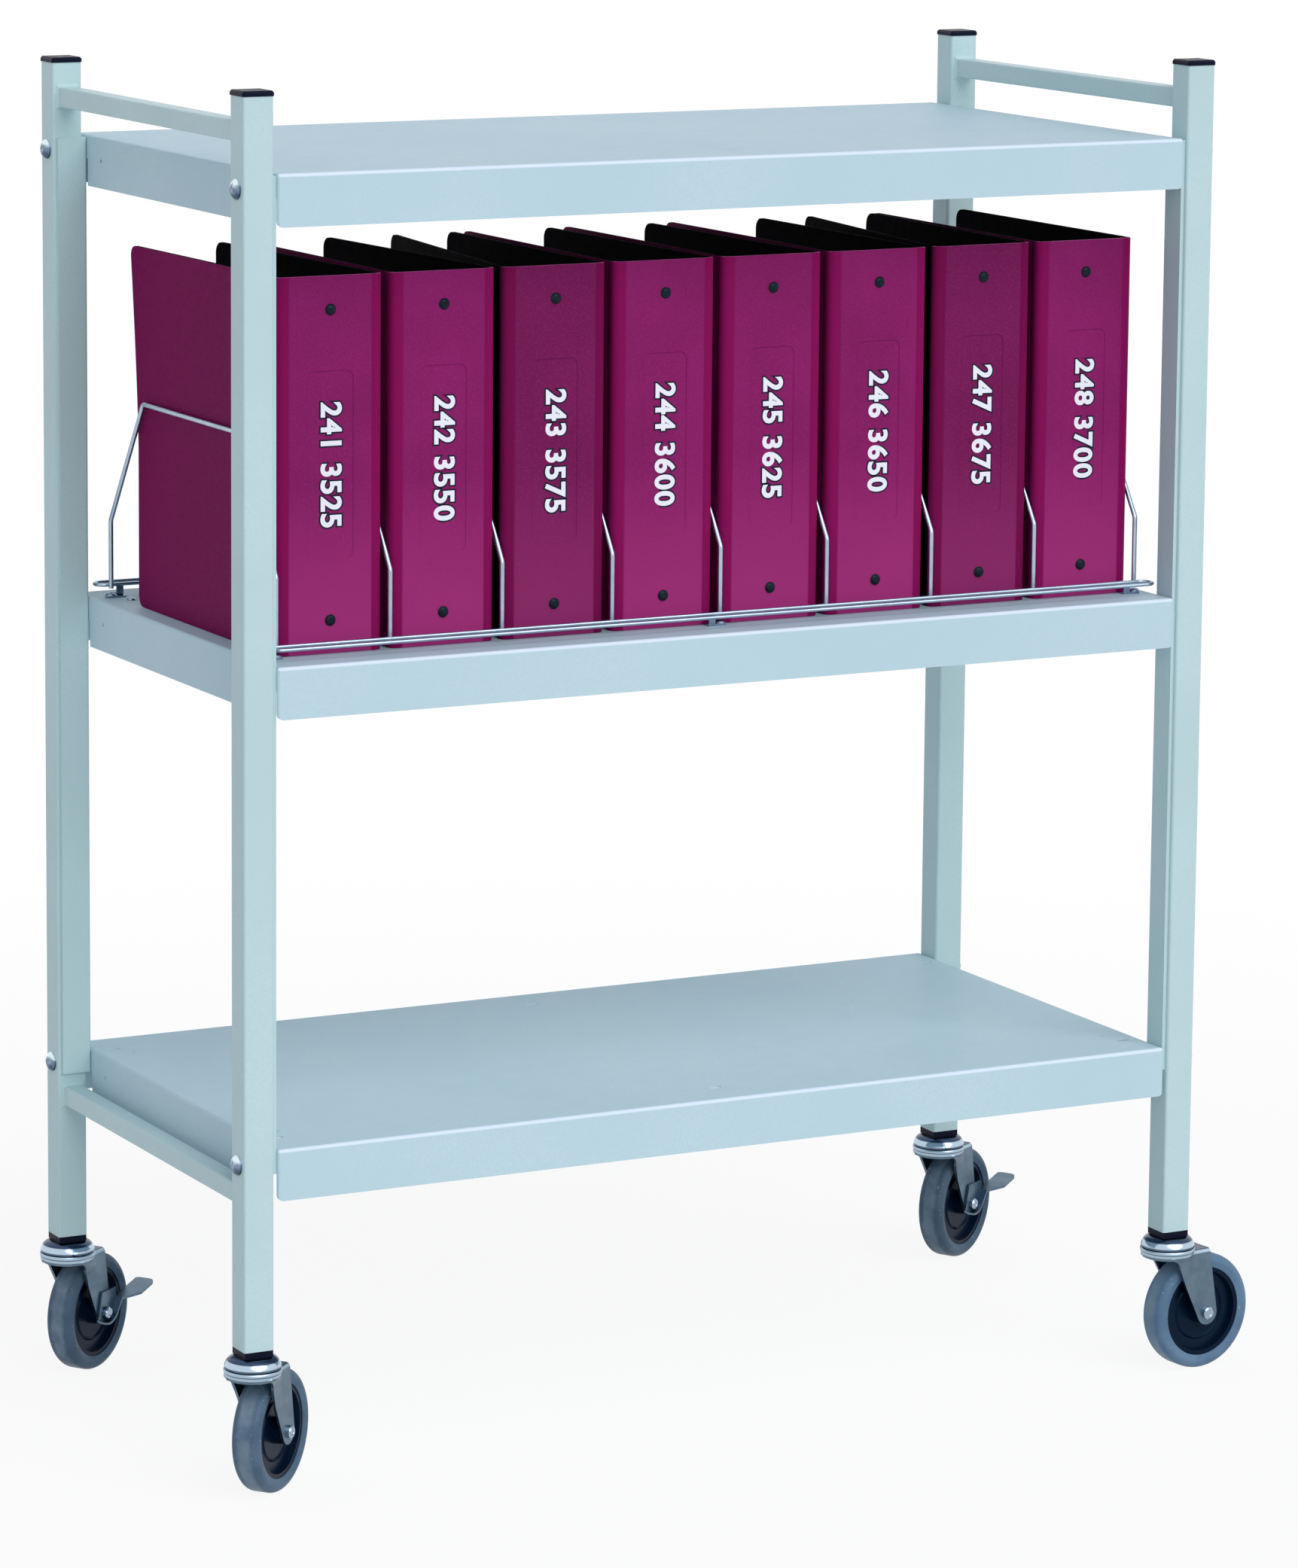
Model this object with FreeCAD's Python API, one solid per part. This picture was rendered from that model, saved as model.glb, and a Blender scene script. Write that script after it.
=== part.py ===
import FreeCAD, Part
import math
import os

# Medical chart rack: a square-tube cart on four swivel casters, with three pressed shelves.
# The middle shelf carries a wire rack that keeps eight ring binders upright.
# Millimetres. +X is the cart's right, +Y its back, +Z up.
# The origin is on the floor, under the middle of the frame.

V = FreeCAD.Vector
UP = V(0, 0, 1)
ORIGIN = V(0, 0, 0)

# Allowances: how far a hole runs past its faces, and how near an edge lies to the face it borders
CUT_PAST = 1.0
PICK = 0.1

# Frame of square tube
FRAME_WIDTH = 870.0
FRAME_DEPTH = 406.4
POST_SIDE = 25.4
POST_WALL = 1.6
POST_CORNER = 2.2
POST_ABOVE_SHELF = 59.4
BAR_SIDE = 16.0
BAR_WALL = 1.5
BAR_CORNER = 1.5
BAR_ABOVE_SHELF = 31.5
RAIL_BELOW_SHELF = 38.5
WELD_BEAD = 2.2

# Angle uprights wrapped on the posts' inner corners
ANGLE_LEG = 25.4
ANGLE_THICK = 3.2
ANGLE_HEEL = 2.5
ANGLE_BELOW_SHELF = 19.6
ANGLE_SHORT_OF_TOP = 1.7

# Pressed shelves
SHELF_RISE = 160.0
SHELF_PITCH = 381.0
SHELF_SHEET = 1.2
SHELF_FLANGE = 41.2
SHELF_BEND = 2.6
SHELF_CORNER = 5.0
NOTCH_LENGTH = 30.0
NOTCH_BELOW_TOP = 19.0
SLOT_LENGTH = 12.0
SLOT_WIDTH = 5.2
PILOT_DIAMETER = 3.4
PILOT_INSET_X = 25.4
PILOT_INSET_Y = 57.7

# Domed heads, as shares of their height and diameter
DOME_RIM = 0.3
DOME_SHOULDER_OUT = 0.36
DOME_SHOULDER_UP = 0.86

# Shelf bolts
BOLT_DIAMETER = 6.3
BOLT_CLEARANCE = 0.25
BOLT_BELOW_TOP = 11.5
BOLT_HEAD_DIAMETER = 16.0
BOLT_HEAD_HEIGHT = 4.4
BOLT_PAST_NUT = 1.6
NUT_FLATS = 11.1
NUT_HEIGHT = 5.5
SCREW_HEAD_DIAMETER = 11.0
SCREW_HEAD_HEIGHT = 3.2
SCREW_REACH = 4.0

# Small screws at the back corners of the middle deck
CORNER_SCREW_HEAD = 8.0
CORNER_SCREW_HEAD_HEIGHT = 2.2
CORNER_SCREW_REACH = 6.0

# Post caps and caster inserts
CAP_SIDE = 26.6
CAP_HEIGHT = 4.2
CAP_BEVEL = 1.6
CAP_PLUG = 12.0
PLUG_CLEARANCE = 0.2
INSERT_SIDE = 24.2
INSERT_LIP = 5.5
INSERT_PLUG = 38.0

# Swivel casters
WHEEL_DIAMETER = 99.0
TYRE_WIDTH = 24.0
TYRE_SHOULDER = 6.5
TYRE_SIDE_RELIEF = 0.8
BOND_GAP = 0.03
HUB_DIAMETER = 76.0
HUB_RIM = 3.5
HUB_RIM_WIDTH = 19.0
HUB_WEB = 9.0
HUB_RIDGE_DIAMETER = 48.0
HUB_RIDGE_WIDTH = 3.0
HUB_RIDGE_HEIGHT = 1.4
HUB_BOSS_DIAMETER = 22.0
HUB_BOSS_PROUD = 1.7
HUB_DRAFT = 1.0
HUB_RIM_FILLET = 1.5
CASTER_TRAIL = 31.5
CROWN_CLEARANCE = 3.6
RACE_DIAMETER = 46.5
RACE_HEIGHT = 6.4
RACE_ROUND = 2.4
RACE_TAPER = 0.4
CUP_DIAMETER = 45.2
CUP_TOP_DIAMETER = 26.0
CUP_HEIGHT = 9.2
CUP_EDGE = 1.2
CUP_BULGE_OUT = 0.72
CUP_BULGE_DROP = 0.33
RUNNING_GAP = 0.3
SHAFT_CLEARANCE = 0.05
STEM_DIAMETER = 11.0
STEM_LENGTH = 32.0
KINGPIN_DIAMETER = 10.0
KINGPIN_HEAD_DIAMETER = 16.0
KINGPIN_HEAD_HEIGHT = 2.2
KINGPIN_HEAD_TAPER = 1.0
FORK_SHEET = 2.2
FORK_BEND = 3.0
FORK_BEND_STEP = 0.9
FORK_CROWN_SHEET = 2.4
FORK_CROWN_DROP = 3.0
FORK_HUB_GAP = 0.3
FORK_REAR = 33.5
FORK_EYE_RADIUS = 10.3
FORK_CREASE = 19.0
FORK_SHOULDER = 21.2
FORK_SHOULDER_BACK = 9.0
FORK_STRAIGHT_BELOW = 28.0
FORK_FRONT_DROP = 11.0
FORK_BULGE_X = -5.5
FORK_BULGE_DROP = 3.8
FORK_THROAT_X = -17.0
SKIRT_DROP = 2.2
SKIRT_DRAFT = 1.8
AXLE_DIAMETER = 6.3
AXLE_HEAD_DIAMETER = 10.4
AXLE_HEAD_HEIGHT = 3.4
AXLE_HEAD_BEVEL = 1.0
AXLE_DIMPLE_DIAMETER = 5.2
AXLE_DIMPLE_DEPTH = 0.6
AXLE_NUT_FLATS = 10.0
AXLE_NUT_HEIGHT = 4.2
TRAIL_ANGLES = {
    "left_front": 40.0,
    "right_front": 7.0,
    "left_back": 36.0,
    "right_back": 31.0,
}

# Brake pedals on the back casters
BRAKED = ("left_back", "right_back")
BRAKE_SHEET = 1.8
BRAKE_HALF_WIDTH = 11.0
BRAKE_PLATE_RISE = 18.5
BRAKE_PLATE_BACK = 16.5
BRAKE_LIP = 6.0
BRAKE_DROP = 8.2
BRAKE_TOE_OUT = 14.0
BRAKE_TOE_DROP = 5.2
LIP_SLANT_X = 0.72
LIP_SLANT_Z = 1.08
PEDAL_REACH = 53.0
PEDAL_WIDTH = 17.0
PEDAL_RISE = 9.0
PEDAL_ROUND = 6.0
PEDAL_FLARE = 13.0

# Wire rack
BAYS = 8
RACK_END_MARGIN = 15.6
RACK_INSET = 38.2
RAIL_WIRE = 3.0
RAIL_SPACING = 16.0
RAIL_HEIGHT = 10.0
RAIL_OVERHANG = 1.5
DIVIDER_WIRE = 4.0
DIVIDER_BEND_HEIGHT = 64.0
DIVIDER_HEIGHT = 168.5
DIVIDER_SLANT = 69.0
DIVIDER_BEND = 7.0
DIVIDER_FOOT = 2.5
FOOT_SHEET = 1.6
FOOT_WIDTH = 8.0
FOOT_LENGTH = 15.0
FOOT_PAST_SCREW = 3.0
FOOT_RISER_WIDTH = 6.0
RACK_SCREW_DIAMETER = 4.8
RACK_SCREW_HEAD = 10.6
RACK_SCREW_HEAD_HEIGHT = 2.6
RACK_NUT_FLATS = 8.0
RACK_NUT_HEIGHT = 3.4
RACK_SCREW_PAST_NUT = 1.0

# Ring binders
BINDER_HEIGHT = 296.0
BINDER_BOARD = 2.8
BINDER_SPINE_RADIUS = 6.0
BINDER_CORNER = 9.0
BINDER_SIDE_GAP = 1.6
BINDER_FRONT_GAP = 6.0
BINDER_BACK_GAP = 50.0
BINDER_SEAT = 0.3

# How far each binder's left and right boards lean about their hinges, in degrees towards +X
COVER_TURNS = (
    (0.0, -4.1),
    (0.0, -4.4),
    (6.5, -1.1),
    (0.0, -2.8),
    (0.0, -3.4),
    (0.0, -1.4),
    (6.5, 0.0),
    (0.0, -1.0),
)

# Spine panel and ring mechanism
PANEL_WIDTH = 40.0
PANEL_HEIGHT = 148.0
PANEL_DEPTH = 0.6
RIVET_SPACING = 243.5
RIVET_HEAD_DIAMETER = 9.0
RIVET_HEAD_HEIGHT = 2.2
RIVET_SHANK_DIAMETER = 4.0
RING_PLATE_WIDTH = 22.0
RING_PLATE_HEIGHT = 5.0
RING_PLATE_EDGE = 2.0
RING_PLATE_PAST_RIVET = 14.0
RING_PITCH = 108.0
RING_WIRE = 3.6
RING_REACH = 66.0
RING_SIDE_CLEARANCE = 9.4
RING_BEND = 14.0

# Places that follow from the driving dimensions
CROWN_UNDERSIDE = WHEEL_DIAMETER + CROWN_CLEARANCE
RACE_TOP = CROWN_UNDERSIDE + RACE_HEIGHT
CUP_BOTTOM = RACE_TOP + RUNNING_GAP
CASTER_TOP = CUP_BOTTOM + CUP_HEIGHT
POST_BOTTOM = CASTER_TOP + INSERT_LIP
SHELF_BOTTOM_Z = POST_BOTTOM + SHELF_RISE
SHELF_MIDDLE_Z = SHELF_BOTTOM_Z + SHELF_PITCH
SHELF_TOP_Z = SHELF_MIDDLE_Z + SHELF_PITCH
POST_TOP = SHELF_TOP_Z + POST_ABOVE_SHELF
POST_X = FRAME_WIDTH / 2 - POST_SIDE / 2
POST_Y = FRAME_DEPTH / 2 - POST_SIDE / 2
POST_INNER_X = FRAME_WIDTH / 2 - POST_SIDE
POST_INNER_Y = FRAME_DEPTH / 2 - POST_SIDE
SHELF_HALF_X = POST_INNER_X - ANGLE_THICK
SHELF_HALF_Y = FRAME_DEPTH / 2
RACK_HALF = SHELF_HALF_X - RACK_END_MARGIN
BAY_PITCH = 2 * RACK_HALF / BAYS
PILOT_X = SHELF_HALF_X - PILOT_INSET_X
PILOT_Y = SHELF_HALF_Y - PILOT_INSET_Y
LEG_Y = SHELF_HALF_Y - RACK_INSET
RACK_WIRE_Z = SHELF_MIDDLE_Z + RAIL_HEIGHT
RAIL_INNER_Y = LEG_Y + DIVIDER_WIRE / 2 + RAIL_WIRE / 2
BINDER_WIDTH = BAY_PITCH - DIVIDER_WIRE - 2 * BINDER_SIDE_GAP
BINDER_FRONT = -LEG_Y + BINDER_FRONT_GAP
BINDER_BACK = LEG_Y - BINDER_BACK_GAP
BINDER_BOTTOM = SHELF_MIDDLE_Z + BINDER_SEAT
HUB_BOSS_HALF = TYRE_WIDTH / 2 + HUB_BOSS_PROUD
FORK_INNER = HUB_BOSS_HALF + FORK_HUB_GAP
FORK_OUTER = FORK_INNER + FORK_SHEET
WHEEL_RADIUS = WHEEL_DIAMETER / 2
CORNERS = {
    "left_front": (-1, -1),
    "right_front": (1, -1),
    "left_back": (-1, 1),
    "right_back": (1, 1),
}
SLOT_PLACES = [(x, y) for x in (-RACK_HALF, 0.0, RACK_HALF) for y in (-LEG_Y, LEG_Y)]


def block(x_range, y_range, z_range):
    """Rectangular block between two ranges on each axis."""
    x0, x1 = sorted(x_range)
    y0, y1 = sorted(y_range)
    z0, z1 = sorted(z_range)
    return Part.makeBox(x1 - x0, y1 - y0, z1 - z0, V(x0, y0, z0))


def drill(radius, start, end):
    """Cylinder from one point to another."""
    run = end - start
    return Part.makeCylinder(radius, run.Length, start, run)


def chain(start, steps):
    """Edges through steps: each is an end point, or a (middle, end) pair for an arc."""
    edges = []
    here = start
    for step in steps:
        if isinstance(step, tuple):
            middle, end = step
            edges.append(Part.Arc(here, middle, end).toShape())
        else:
            end = step
            edges.append(Part.LineSegment(here, end).toShape())
        here = end
    return edges


def face_of(start, steps):
    """Flat face inside a closed chain of lines and arcs."""
    return Part.Face(Part.Wire(chain(start, steps + [start])))


def turned(points):
    """Solid of revolution about Z from (radius, height, bulge point or None) rows."""
    start = V(points[0][0], 0, points[0][1])
    steps = []
    for radius, height, bulge in points[1:]:
        end = V(radius, 0, height)
        if bulge is None:
            steps.append(end)
        else:
            steps.append((V(bulge[0], 0, bulge[1]), end))
    return face_of(start, steps).revolve(ORIGIN, UP, 360)


def hex_prism(flats, height, centre, axis):
    """Hexagonal prism that grows from centre along axis."""
    radius = flats / math.sqrt(3)
    points = [V(radius * math.cos(math.radians(60 * i)), radius * math.sin(math.radians(60 * i)), 0)
              for i in range(6)]
    prism = Part.Face(Part.makePolygon(points + points[:1])).extrude(V(0, 0, height))
    prism.Placement = FreeCAD.Placement(centre, FreeCAD.Rotation(UP, axis))
    return prism


def domed_screw(head_diameter, head_height, shank_diameter, reach, seat, axis):
    """Low domed head on its seat, with a plain shank that runs back along -axis."""
    rim = head_height * DOME_RIM
    shoulder = V(head_diameter * DOME_SHOULDER_OUT, 0, head_height * DOME_SHOULDER_UP)
    steps = [
        V(0, 0, head_height),
        (shoulder, V(head_diameter / 2, 0, rim)),
        V(head_diameter / 2, 0, 0),
        V(shank_diameter / 2, 0, 0),
        V(shank_diameter / 2, 0, -reach),
    ]
    screw = face_of(V(0, 0, -reach), steps).revolve(ORIGIN, UP, 360)
    screw.Placement = FreeCAD.Placement(seat, FreeCAD.Rotation(UP, axis))
    return screw


def square_tube(side, wall, corner, length):
    """Upright square tube with rounded outer corners, its foot at the origin."""
    half = side / 2
    tube = block((-half, half), (-half, half), (0, length))
    upright = [edge for edge in tube.Edges if abs(edge.tangentAt(edge.FirstParameter).z) > 1 - PICK]
    tube = tube.makeFillet(corner, upright)
    bore = half - wall
    return tube.cut(block((-bore, bore), (-bore, bore), (0, length)))


def save(shapes, name):
    """Write one node: a single solid, or a group of separate solids."""
    shape = shapes if isinstance(shapes, Part.Shape) else Part.makeCompound(shapes)
    shape.exportStep("parts/" + name + ".step")


# ---------------------------------------------------------------- frame

def bolt_heights():
    """Heights of the through bolts, and of the middle shelf's inside screws."""
    through = (SHELF_TOP_Z - BOLT_BELOW_TOP, SHELF_BOTTOM_Z - BOLT_BELOW_TOP)
    return through, SHELF_MIDDLE_Z - BOLT_BELOW_TOP


def post(sx, sy):
    """Corner post with its bolt holes."""
    shape = square_tube(POST_SIDE, POST_WALL, POST_CORNER, POST_TOP - POST_BOTTOM)
    shape.translate(V(sx * POST_X, sy * POST_Y, POST_BOTTOM))
    through, inside = bolt_heights()
    radius = BOLT_DIAMETER / 2 + BOLT_CLEARANCE
    outer = sx * (FRAME_WIDTH / 2 + CUT_PAST)
    inner = sx * (POST_INNER_X - CUT_PAST)
    for z in through:
        shape = shape.cut(drill(radius, V(inner, sy * POST_Y, z), V(outer, sy * POST_Y, z)))
    past_wall = sx * (POST_INNER_X + POST_WALL + CUT_PAST)
    return shape.cut(drill(radius, V(inner, sy * POST_Y, inside), V(past_wall, sy * POST_Y, inside)))


def angle_upright(sx, sy):
    """Angle section along the post's inner corner, drilled for the shelf bolts."""
    heel_x = SHELF_HALF_X
    heel_y = POST_INNER_Y - ANGLE_THICK
    bottom = SHELF_BOTTOM_Z - ANGLE_BELOW_SHELF
    top = SHELF_TOP_Z - ANGLE_SHORT_OF_TOP
    corners = [
        (heel_x + ANGLE_LEG, heel_y),
        (heel_x + ANGLE_LEG, POST_INNER_Y),
        (POST_INNER_X, POST_INNER_Y),
        (POST_INNER_X, heel_y + ANGLE_LEG),
        (heel_x, heel_y + ANGLE_LEG),
        (heel_x, heel_y + ANGLE_HEEL),
    ]
    points = [V(sx * x, sy * y, bottom) for x, y in corners]
    pull = ANGLE_HEEL * (1 - math.sqrt(0.5))
    heel = (V(sx * (heel_x + pull), sy * (heel_y + pull), bottom),
            V(sx * (heel_x + ANGLE_HEEL), sy * heel_y, bottom))
    shape = face_of(points[0], points[1:] + [heel]).extrude(V(0, 0, top - bottom))
    through, inside = bolt_heights()
    radius = BOLT_DIAMETER / 2 + BOLT_CLEARANCE
    for z in through + (inside,):
        start = V(sx * (SHELF_HALF_X - CUT_PAST), sy * POST_Y, z)
        end = V(sx * (POST_INNER_X + CUT_PAST), sy * POST_Y, z)
        shape = shape.cut(drill(radius, start, end))
    return shape


def square_wire(half, z):
    """Closed square outline about Z at one height."""
    corners = ((-1, -1), (1, -1), (1, 1), (-1, 1), (-1, -1))
    return Part.makePolygon([V(a * half, b * half, z) for a, b in corners])


def side_bar(sx, height):
    """Square tube across the cart's side, with a weld bead where it meets each post."""
    half = BAR_SIDE / 2
    length = 2 * POST_INNER_Y
    bar = square_tube(BAR_SIDE, BAR_WALL, BAR_CORNER, length)
    for z, towards in ((0.0, 1.0), (length, -1.0)):
        foot = square_wire(half + WELD_BEAD, z)
        neck = square_wire(half, z + towards * WELD_BEAD)
        bead = Part.makeLoft([foot, neck], True, True)
        core = half - BAR_WALL / 2
        bead = bead.cut(block((-core, core), (-core, core), (z - WELD_BEAD, z + WELD_BEAD)))
        bar = bar.fuse(bead)
    bar.rotate(ORIGIN, V(1, 0, 0), -90)
    bar.translate(V(sx * POST_X, -POST_INNER_Y, height))
    return bar.removeSplitter()


def shelf(top, slotted):
    """Pressed shelf pan: flanged on four sides, notched at its corners and punched."""
    bottom = top - SHELF_FLANGE
    outer = block((-SHELF_HALF_X, SHELF_HALF_X), (-SHELF_HALF_Y, SHELF_HALF_Y), (bottom, top))
    above_hem = [edge for edge in outer.Edges if edge.CenterOfMass.z > bottom + CUT_PAST]
    pan = outer.makeFillet(SHELF_BEND, above_hem)
    in_x = SHELF_HALF_X - SHELF_SHEET
    in_y = SHELF_HALF_Y - SHELF_SHEET
    inner = block((-in_x, in_x), (-in_y, in_y), (bottom - CUT_PAST, top - SHELF_SHEET))
    inner = inner.makeFillet(SHELF_BEND - SHELF_SHEET,
                             [edge for edge in inner.Edges if edge.CenterOfMass.z > bottom])
    pan = pan.cut(inner)
    cuts = []
    notch_top = top - NOTCH_BELOW_TOP
    bolt_radius = BOLT_DIAMETER / 2 + BOLT_CLEARANCE
    bolt_z = top - BOLT_BELOW_TOP
    pilot_z = top - NOTCH_BELOW_TOP
    for sx, sy in CORNERS.values():
        ends = (sx * (in_x - CUT_PAST), sx * (SHELF_HALF_X + CUT_PAST))
        cuts.append(block(ends, (sy * (SHELF_HALF_Y - NOTCH_LENGTH), sy * (SHELF_HALF_Y - SHELF_BEND)),
                          (bottom - CUT_PAST, notch_top)))
        cuts.append(drill(bolt_radius, V(ends[0], sy * POST_Y, bolt_z), V(ends[1], sy * POST_Y, bolt_z)))
        cuts.append(drill(PILOT_DIAMETER / 2, V(ends[0], sy * PILOT_Y, pilot_z),
                          V(ends[1], sy * PILOT_Y, pilot_z)))
        cuts.append(flange_corner(sx, sy, bottom))
    if slotted:
        through_deck = top - SHELF_SHEET - CUT_PAST
        for sx, sy in CORNERS.values():
            cuts.append(drill(PILOT_DIAMETER / 2, V(sx * PILOT_X, sy * PILOT_Y, through_deck),
                              V(sx * PILOT_X, sy * PILOT_Y, top + CUT_PAST)))
        cuts += [slot(x, y, top) for x, y in SLOT_PLACES]
    return pan.cut(Part.makeCompound(cuts))


def flange_corner(sx, sy, bottom):
    """Waste outside the rounded lower corner of a front or back flange."""
    centre_x = sx * (SHELF_HALF_X - SHELF_CORNER)
    depth = (sy * (SHELF_HALF_Y - SHELF_BEND - CUT_PAST / 2), sy * (SHELF_HALF_Y + CUT_PAST))
    waste = block((centre_x, sx * (SHELF_HALF_X + CUT_PAST)), depth,
                  (bottom - CUT_PAST, bottom + SHELF_CORNER))
    centre = V(centre_x, depth[0] - sy * CUT_PAST, bottom + SHELF_CORNER)
    return waste.cut(drill(SHELF_CORNER, centre, V(centre_x, depth[1] + sy * CUT_PAST, centre.z)))


def slot(x, y, top):
    """Round-ended slot through a shelf's deck, along X."""
    half = (SLOT_LENGTH - SLOT_WIDTH) / 2
    radius = SLOT_WIDTH / 2
    low = top - SHELF_SHEET - CUT_PAST
    start = V(x - half, y - radius, low)
    steps = [
        V(x + half, y - radius, low),
        (V(x + half + radius, y, low), V(x + half, y + radius, low)),
        V(x - half, y + radius, low),
    ]
    edges = chain(start, steps + [(V(x - half - radius, y, low), start)])
    return Part.Face(Part.Wire(edges)).extrude(V(0, 0, SHELF_SHEET + 2 * CUT_PAST))


def shelf_fasteners():
    """Through bolts with nuts for the top and bottom shelves, and the middle shelf's screws."""
    solids = []
    through, inside = bolt_heights()
    nut_x = SHELF_HALF_X - SHELF_SHEET
    reach = FRAME_WIDTH / 2 - nut_x + NUT_HEIGHT + BOLT_PAST_NUT
    for sx, sy in CORNERS.values():
        for z in through:
            seat = V(sx * FRAME_WIDTH / 2, sy * POST_Y, z)
            solids.append(domed_screw(BOLT_HEAD_DIAMETER, BOLT_HEAD_HEIGHT, BOLT_DIAMETER, reach,
                                      seat, V(sx, 0, 0)))
            face = V(sx * nut_x, sy * POST_Y, z)
            nut = hex_prism(NUT_FLATS, NUT_HEIGHT, face, V(-sx, 0, 0))
            bore = drill(BOLT_DIAMETER / 2 + SHAFT_CLEARANCE, face + V(sx * CUT_PAST, 0, 0),
                         face - V(sx * (NUT_HEIGHT + CUT_PAST), 0, 0))
            solids.append(nut.cut(bore))
        seat = V(sx * nut_x, sy * POST_Y, inside)
        reach_inside = SHELF_SHEET + ANGLE_THICK + POST_WALL + SCREW_REACH
        solids.append(domed_screw(SCREW_HEAD_DIAMETER, SCREW_HEAD_HEIGHT, BOLT_DIAMETER, reach_inside,
                                  seat, V(-sx, 0, 0)))
    return solids


def post_cap(sx, sy):
    """Bevelled cap on a post's top, with its plug down the tube."""
    half = CAP_SIDE / 2
    lip = block((-half, half), (-half, half), (0, CAP_HEIGHT))
    lip = lip.makeChamfer(CAP_BEVEL, [edge for edge in lip.Edges if edge.CenterOfMass.z > CAP_HEIGHT / 4])
    plug = POST_SIDE / 2 - POST_WALL - PLUG_CLEARANCE
    cap = lip.fuse(block((-plug, plug), (-plug, plug), (-CAP_PLUG, 0)))
    cap.translate(V(sx * POST_X, sy * POST_Y, POST_TOP))
    return cap


def caster_insert(sx, sy):
    """Square socket in a post's foot that holds a caster's stem."""
    plug = POST_SIDE / 2 - POST_WALL - PLUG_CLEARANCE
    lip = INSERT_SIDE / 2
    insert = block((-lip, lip), (-lip, lip), (0, INSERT_LIP))
    insert = insert.fuse(block((-plug, plug), (-plug, plug), (INSERT_LIP, INSERT_LIP + INSERT_PLUG)))
    stem = Part.makeCylinder(STEM_DIAMETER / 2 + SHAFT_CLEARANCE, STEM_LENGTH + RUNNING_GAP)
    insert = insert.cut(stem)
    insert.translate(V(sx * POST_X, sy * POST_Y, CASTER_TOP))
    return insert


# ---------------------------------------------------------------- casters

def place_caster(shape, corner):
    """Turn a caster piece to its trail angle and set it under its post."""
    sx, sy = CORNERS[corner]
    shape.rotate(ORIGIN, UP, TRAIL_ANGLES[corner])
    shape.translate(V(sx * POST_X, sy * POST_Y, 0))
    return shape


def raceway():
    """Stem, domed cup and riveted kingpin: what stays with the post as the caster swivels."""
    cup_radius = CUP_DIAMETER / 2
    cup_top = CUP_TOP_DIAMETER / 2
    pin_end = CROWN_UNDERSIDE - RUNNING_GAP
    bulge = (cup_top + (cup_radius - cup_top) * CUP_BULGE_OUT,
             CASTER_TOP - (CUP_HEIGHT - CUP_EDGE) * CUP_BULGE_DROP)
    return turned([
        (0, CASTER_TOP + STEM_LENGTH, None),
        (STEM_DIAMETER / 2, CASTER_TOP + STEM_LENGTH, None),
        (STEM_DIAMETER / 2, CASTER_TOP, None),
        (cup_top, CASTER_TOP, None),
        (cup_radius, CUP_BOTTOM + CUP_EDGE, bulge),
        (cup_radius, CUP_BOTTOM, None),
        (KINGPIN_DIAMETER / 2, CUP_BOTTOM, None),
        (KINGPIN_DIAMETER / 2, pin_end, None),
        (KINGPIN_HEAD_DIAMETER / 2, pin_end, None),
        (KINGPIN_HEAD_DIAMETER / 2 - KINGPIN_HEAD_TAPER, pin_end - KINGPIN_HEAD_HEIGHT, None),
        (0, pin_end - KINGPIN_HEAD_HEIGHT, None),
    ])


def fork_section(z, inset):
    """Plan outline of the pressed fork at one height, drawn in by inset."""
    drop = (CROWN_UNDERSIDE - FORK_STRAIGHT_BELOW - z) / -FORK_STRAIGHT_BELOW
    flare = min(1.0, max(0.0, drop))
    shoulder = FORK_OUTER + (FORK_SHOULDER - FORK_OUTER) * flare
    nose = FORK_OUTER - (FORK_OUTER - FORK_SHOULDER_BACK) * flare
    reach = RACE_DIAMETER / 2
    side = [
        (-reach, nose),
        (-FORK_SHOULDER_BACK, shoulder),
        (FORK_CREASE, FORK_OUTER),
        (CASTER_TRAIL + 2 * FORK_EYE_RADIUS, FORK_OUTER),
    ]
    near = [V(x, -(y - inset), z) for x, y in side]
    far = [V(x, y - inset, z) for x, y in reversed(side)]
    return Part.makePolygon(near + far + near[:1])


def tangent_point(outside, centre, radius, side):
    """Where the line from a point outside touches a circle in the X-Z plane."""
    gap_x = outside[0] - centre[0]
    gap_z = outside[1] - centre[1]
    spread = math.acos(radius / math.hypot(gap_x, gap_z))
    angle = math.atan2(gap_z, gap_x) + side * spread
    return (centre[0] + radius * math.cos(angle), centre[1] + radius * math.sin(angle))


def fork_outline():
    """Side outline of a fork leg: swept front edge, round eye at the axle, straight back."""
    eye = (CASTER_TRAIL, WHEEL_RADIUS)
    crown = CROWN_UNDERSIDE + FORK_CROWN_DROP + CUT_PAST
    front = (0.0, CROWN_UNDERSIDE - FORK_FRONT_DROP)
    front_bulge = (FORK_BULGE_X, CROWN_UNDERSIDE - FORK_BULGE_DROP)
    throat = (FORK_THROAT_X, CROWN_UNDERSIDE - SKIRT_DROP)
    back = (FORK_REAR, CROWN_UNDERSIDE + CUT_PAST / 2)
    front_touch = tangent_point(front, eye, FORK_EYE_RADIUS, 1)
    back_touch = tangent_point(back, eye, FORK_EYE_RADIUS, -1)

    def at(point):
        return V(point[0], -RACE_DIAMETER, point[1])

    under_eye = (CASTER_TRAIL, WHEEL_RADIUS - FORK_EYE_RADIUS)
    steps = [
        at(back),
        at(back_touch),
        (at(under_eye), at(front_touch)),
        at(front),
        (at(front_bulge), at(throat)),
        at((throat[0], crown)),
    ]
    return face_of(at((FORK_REAR, crown)), steps)


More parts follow.
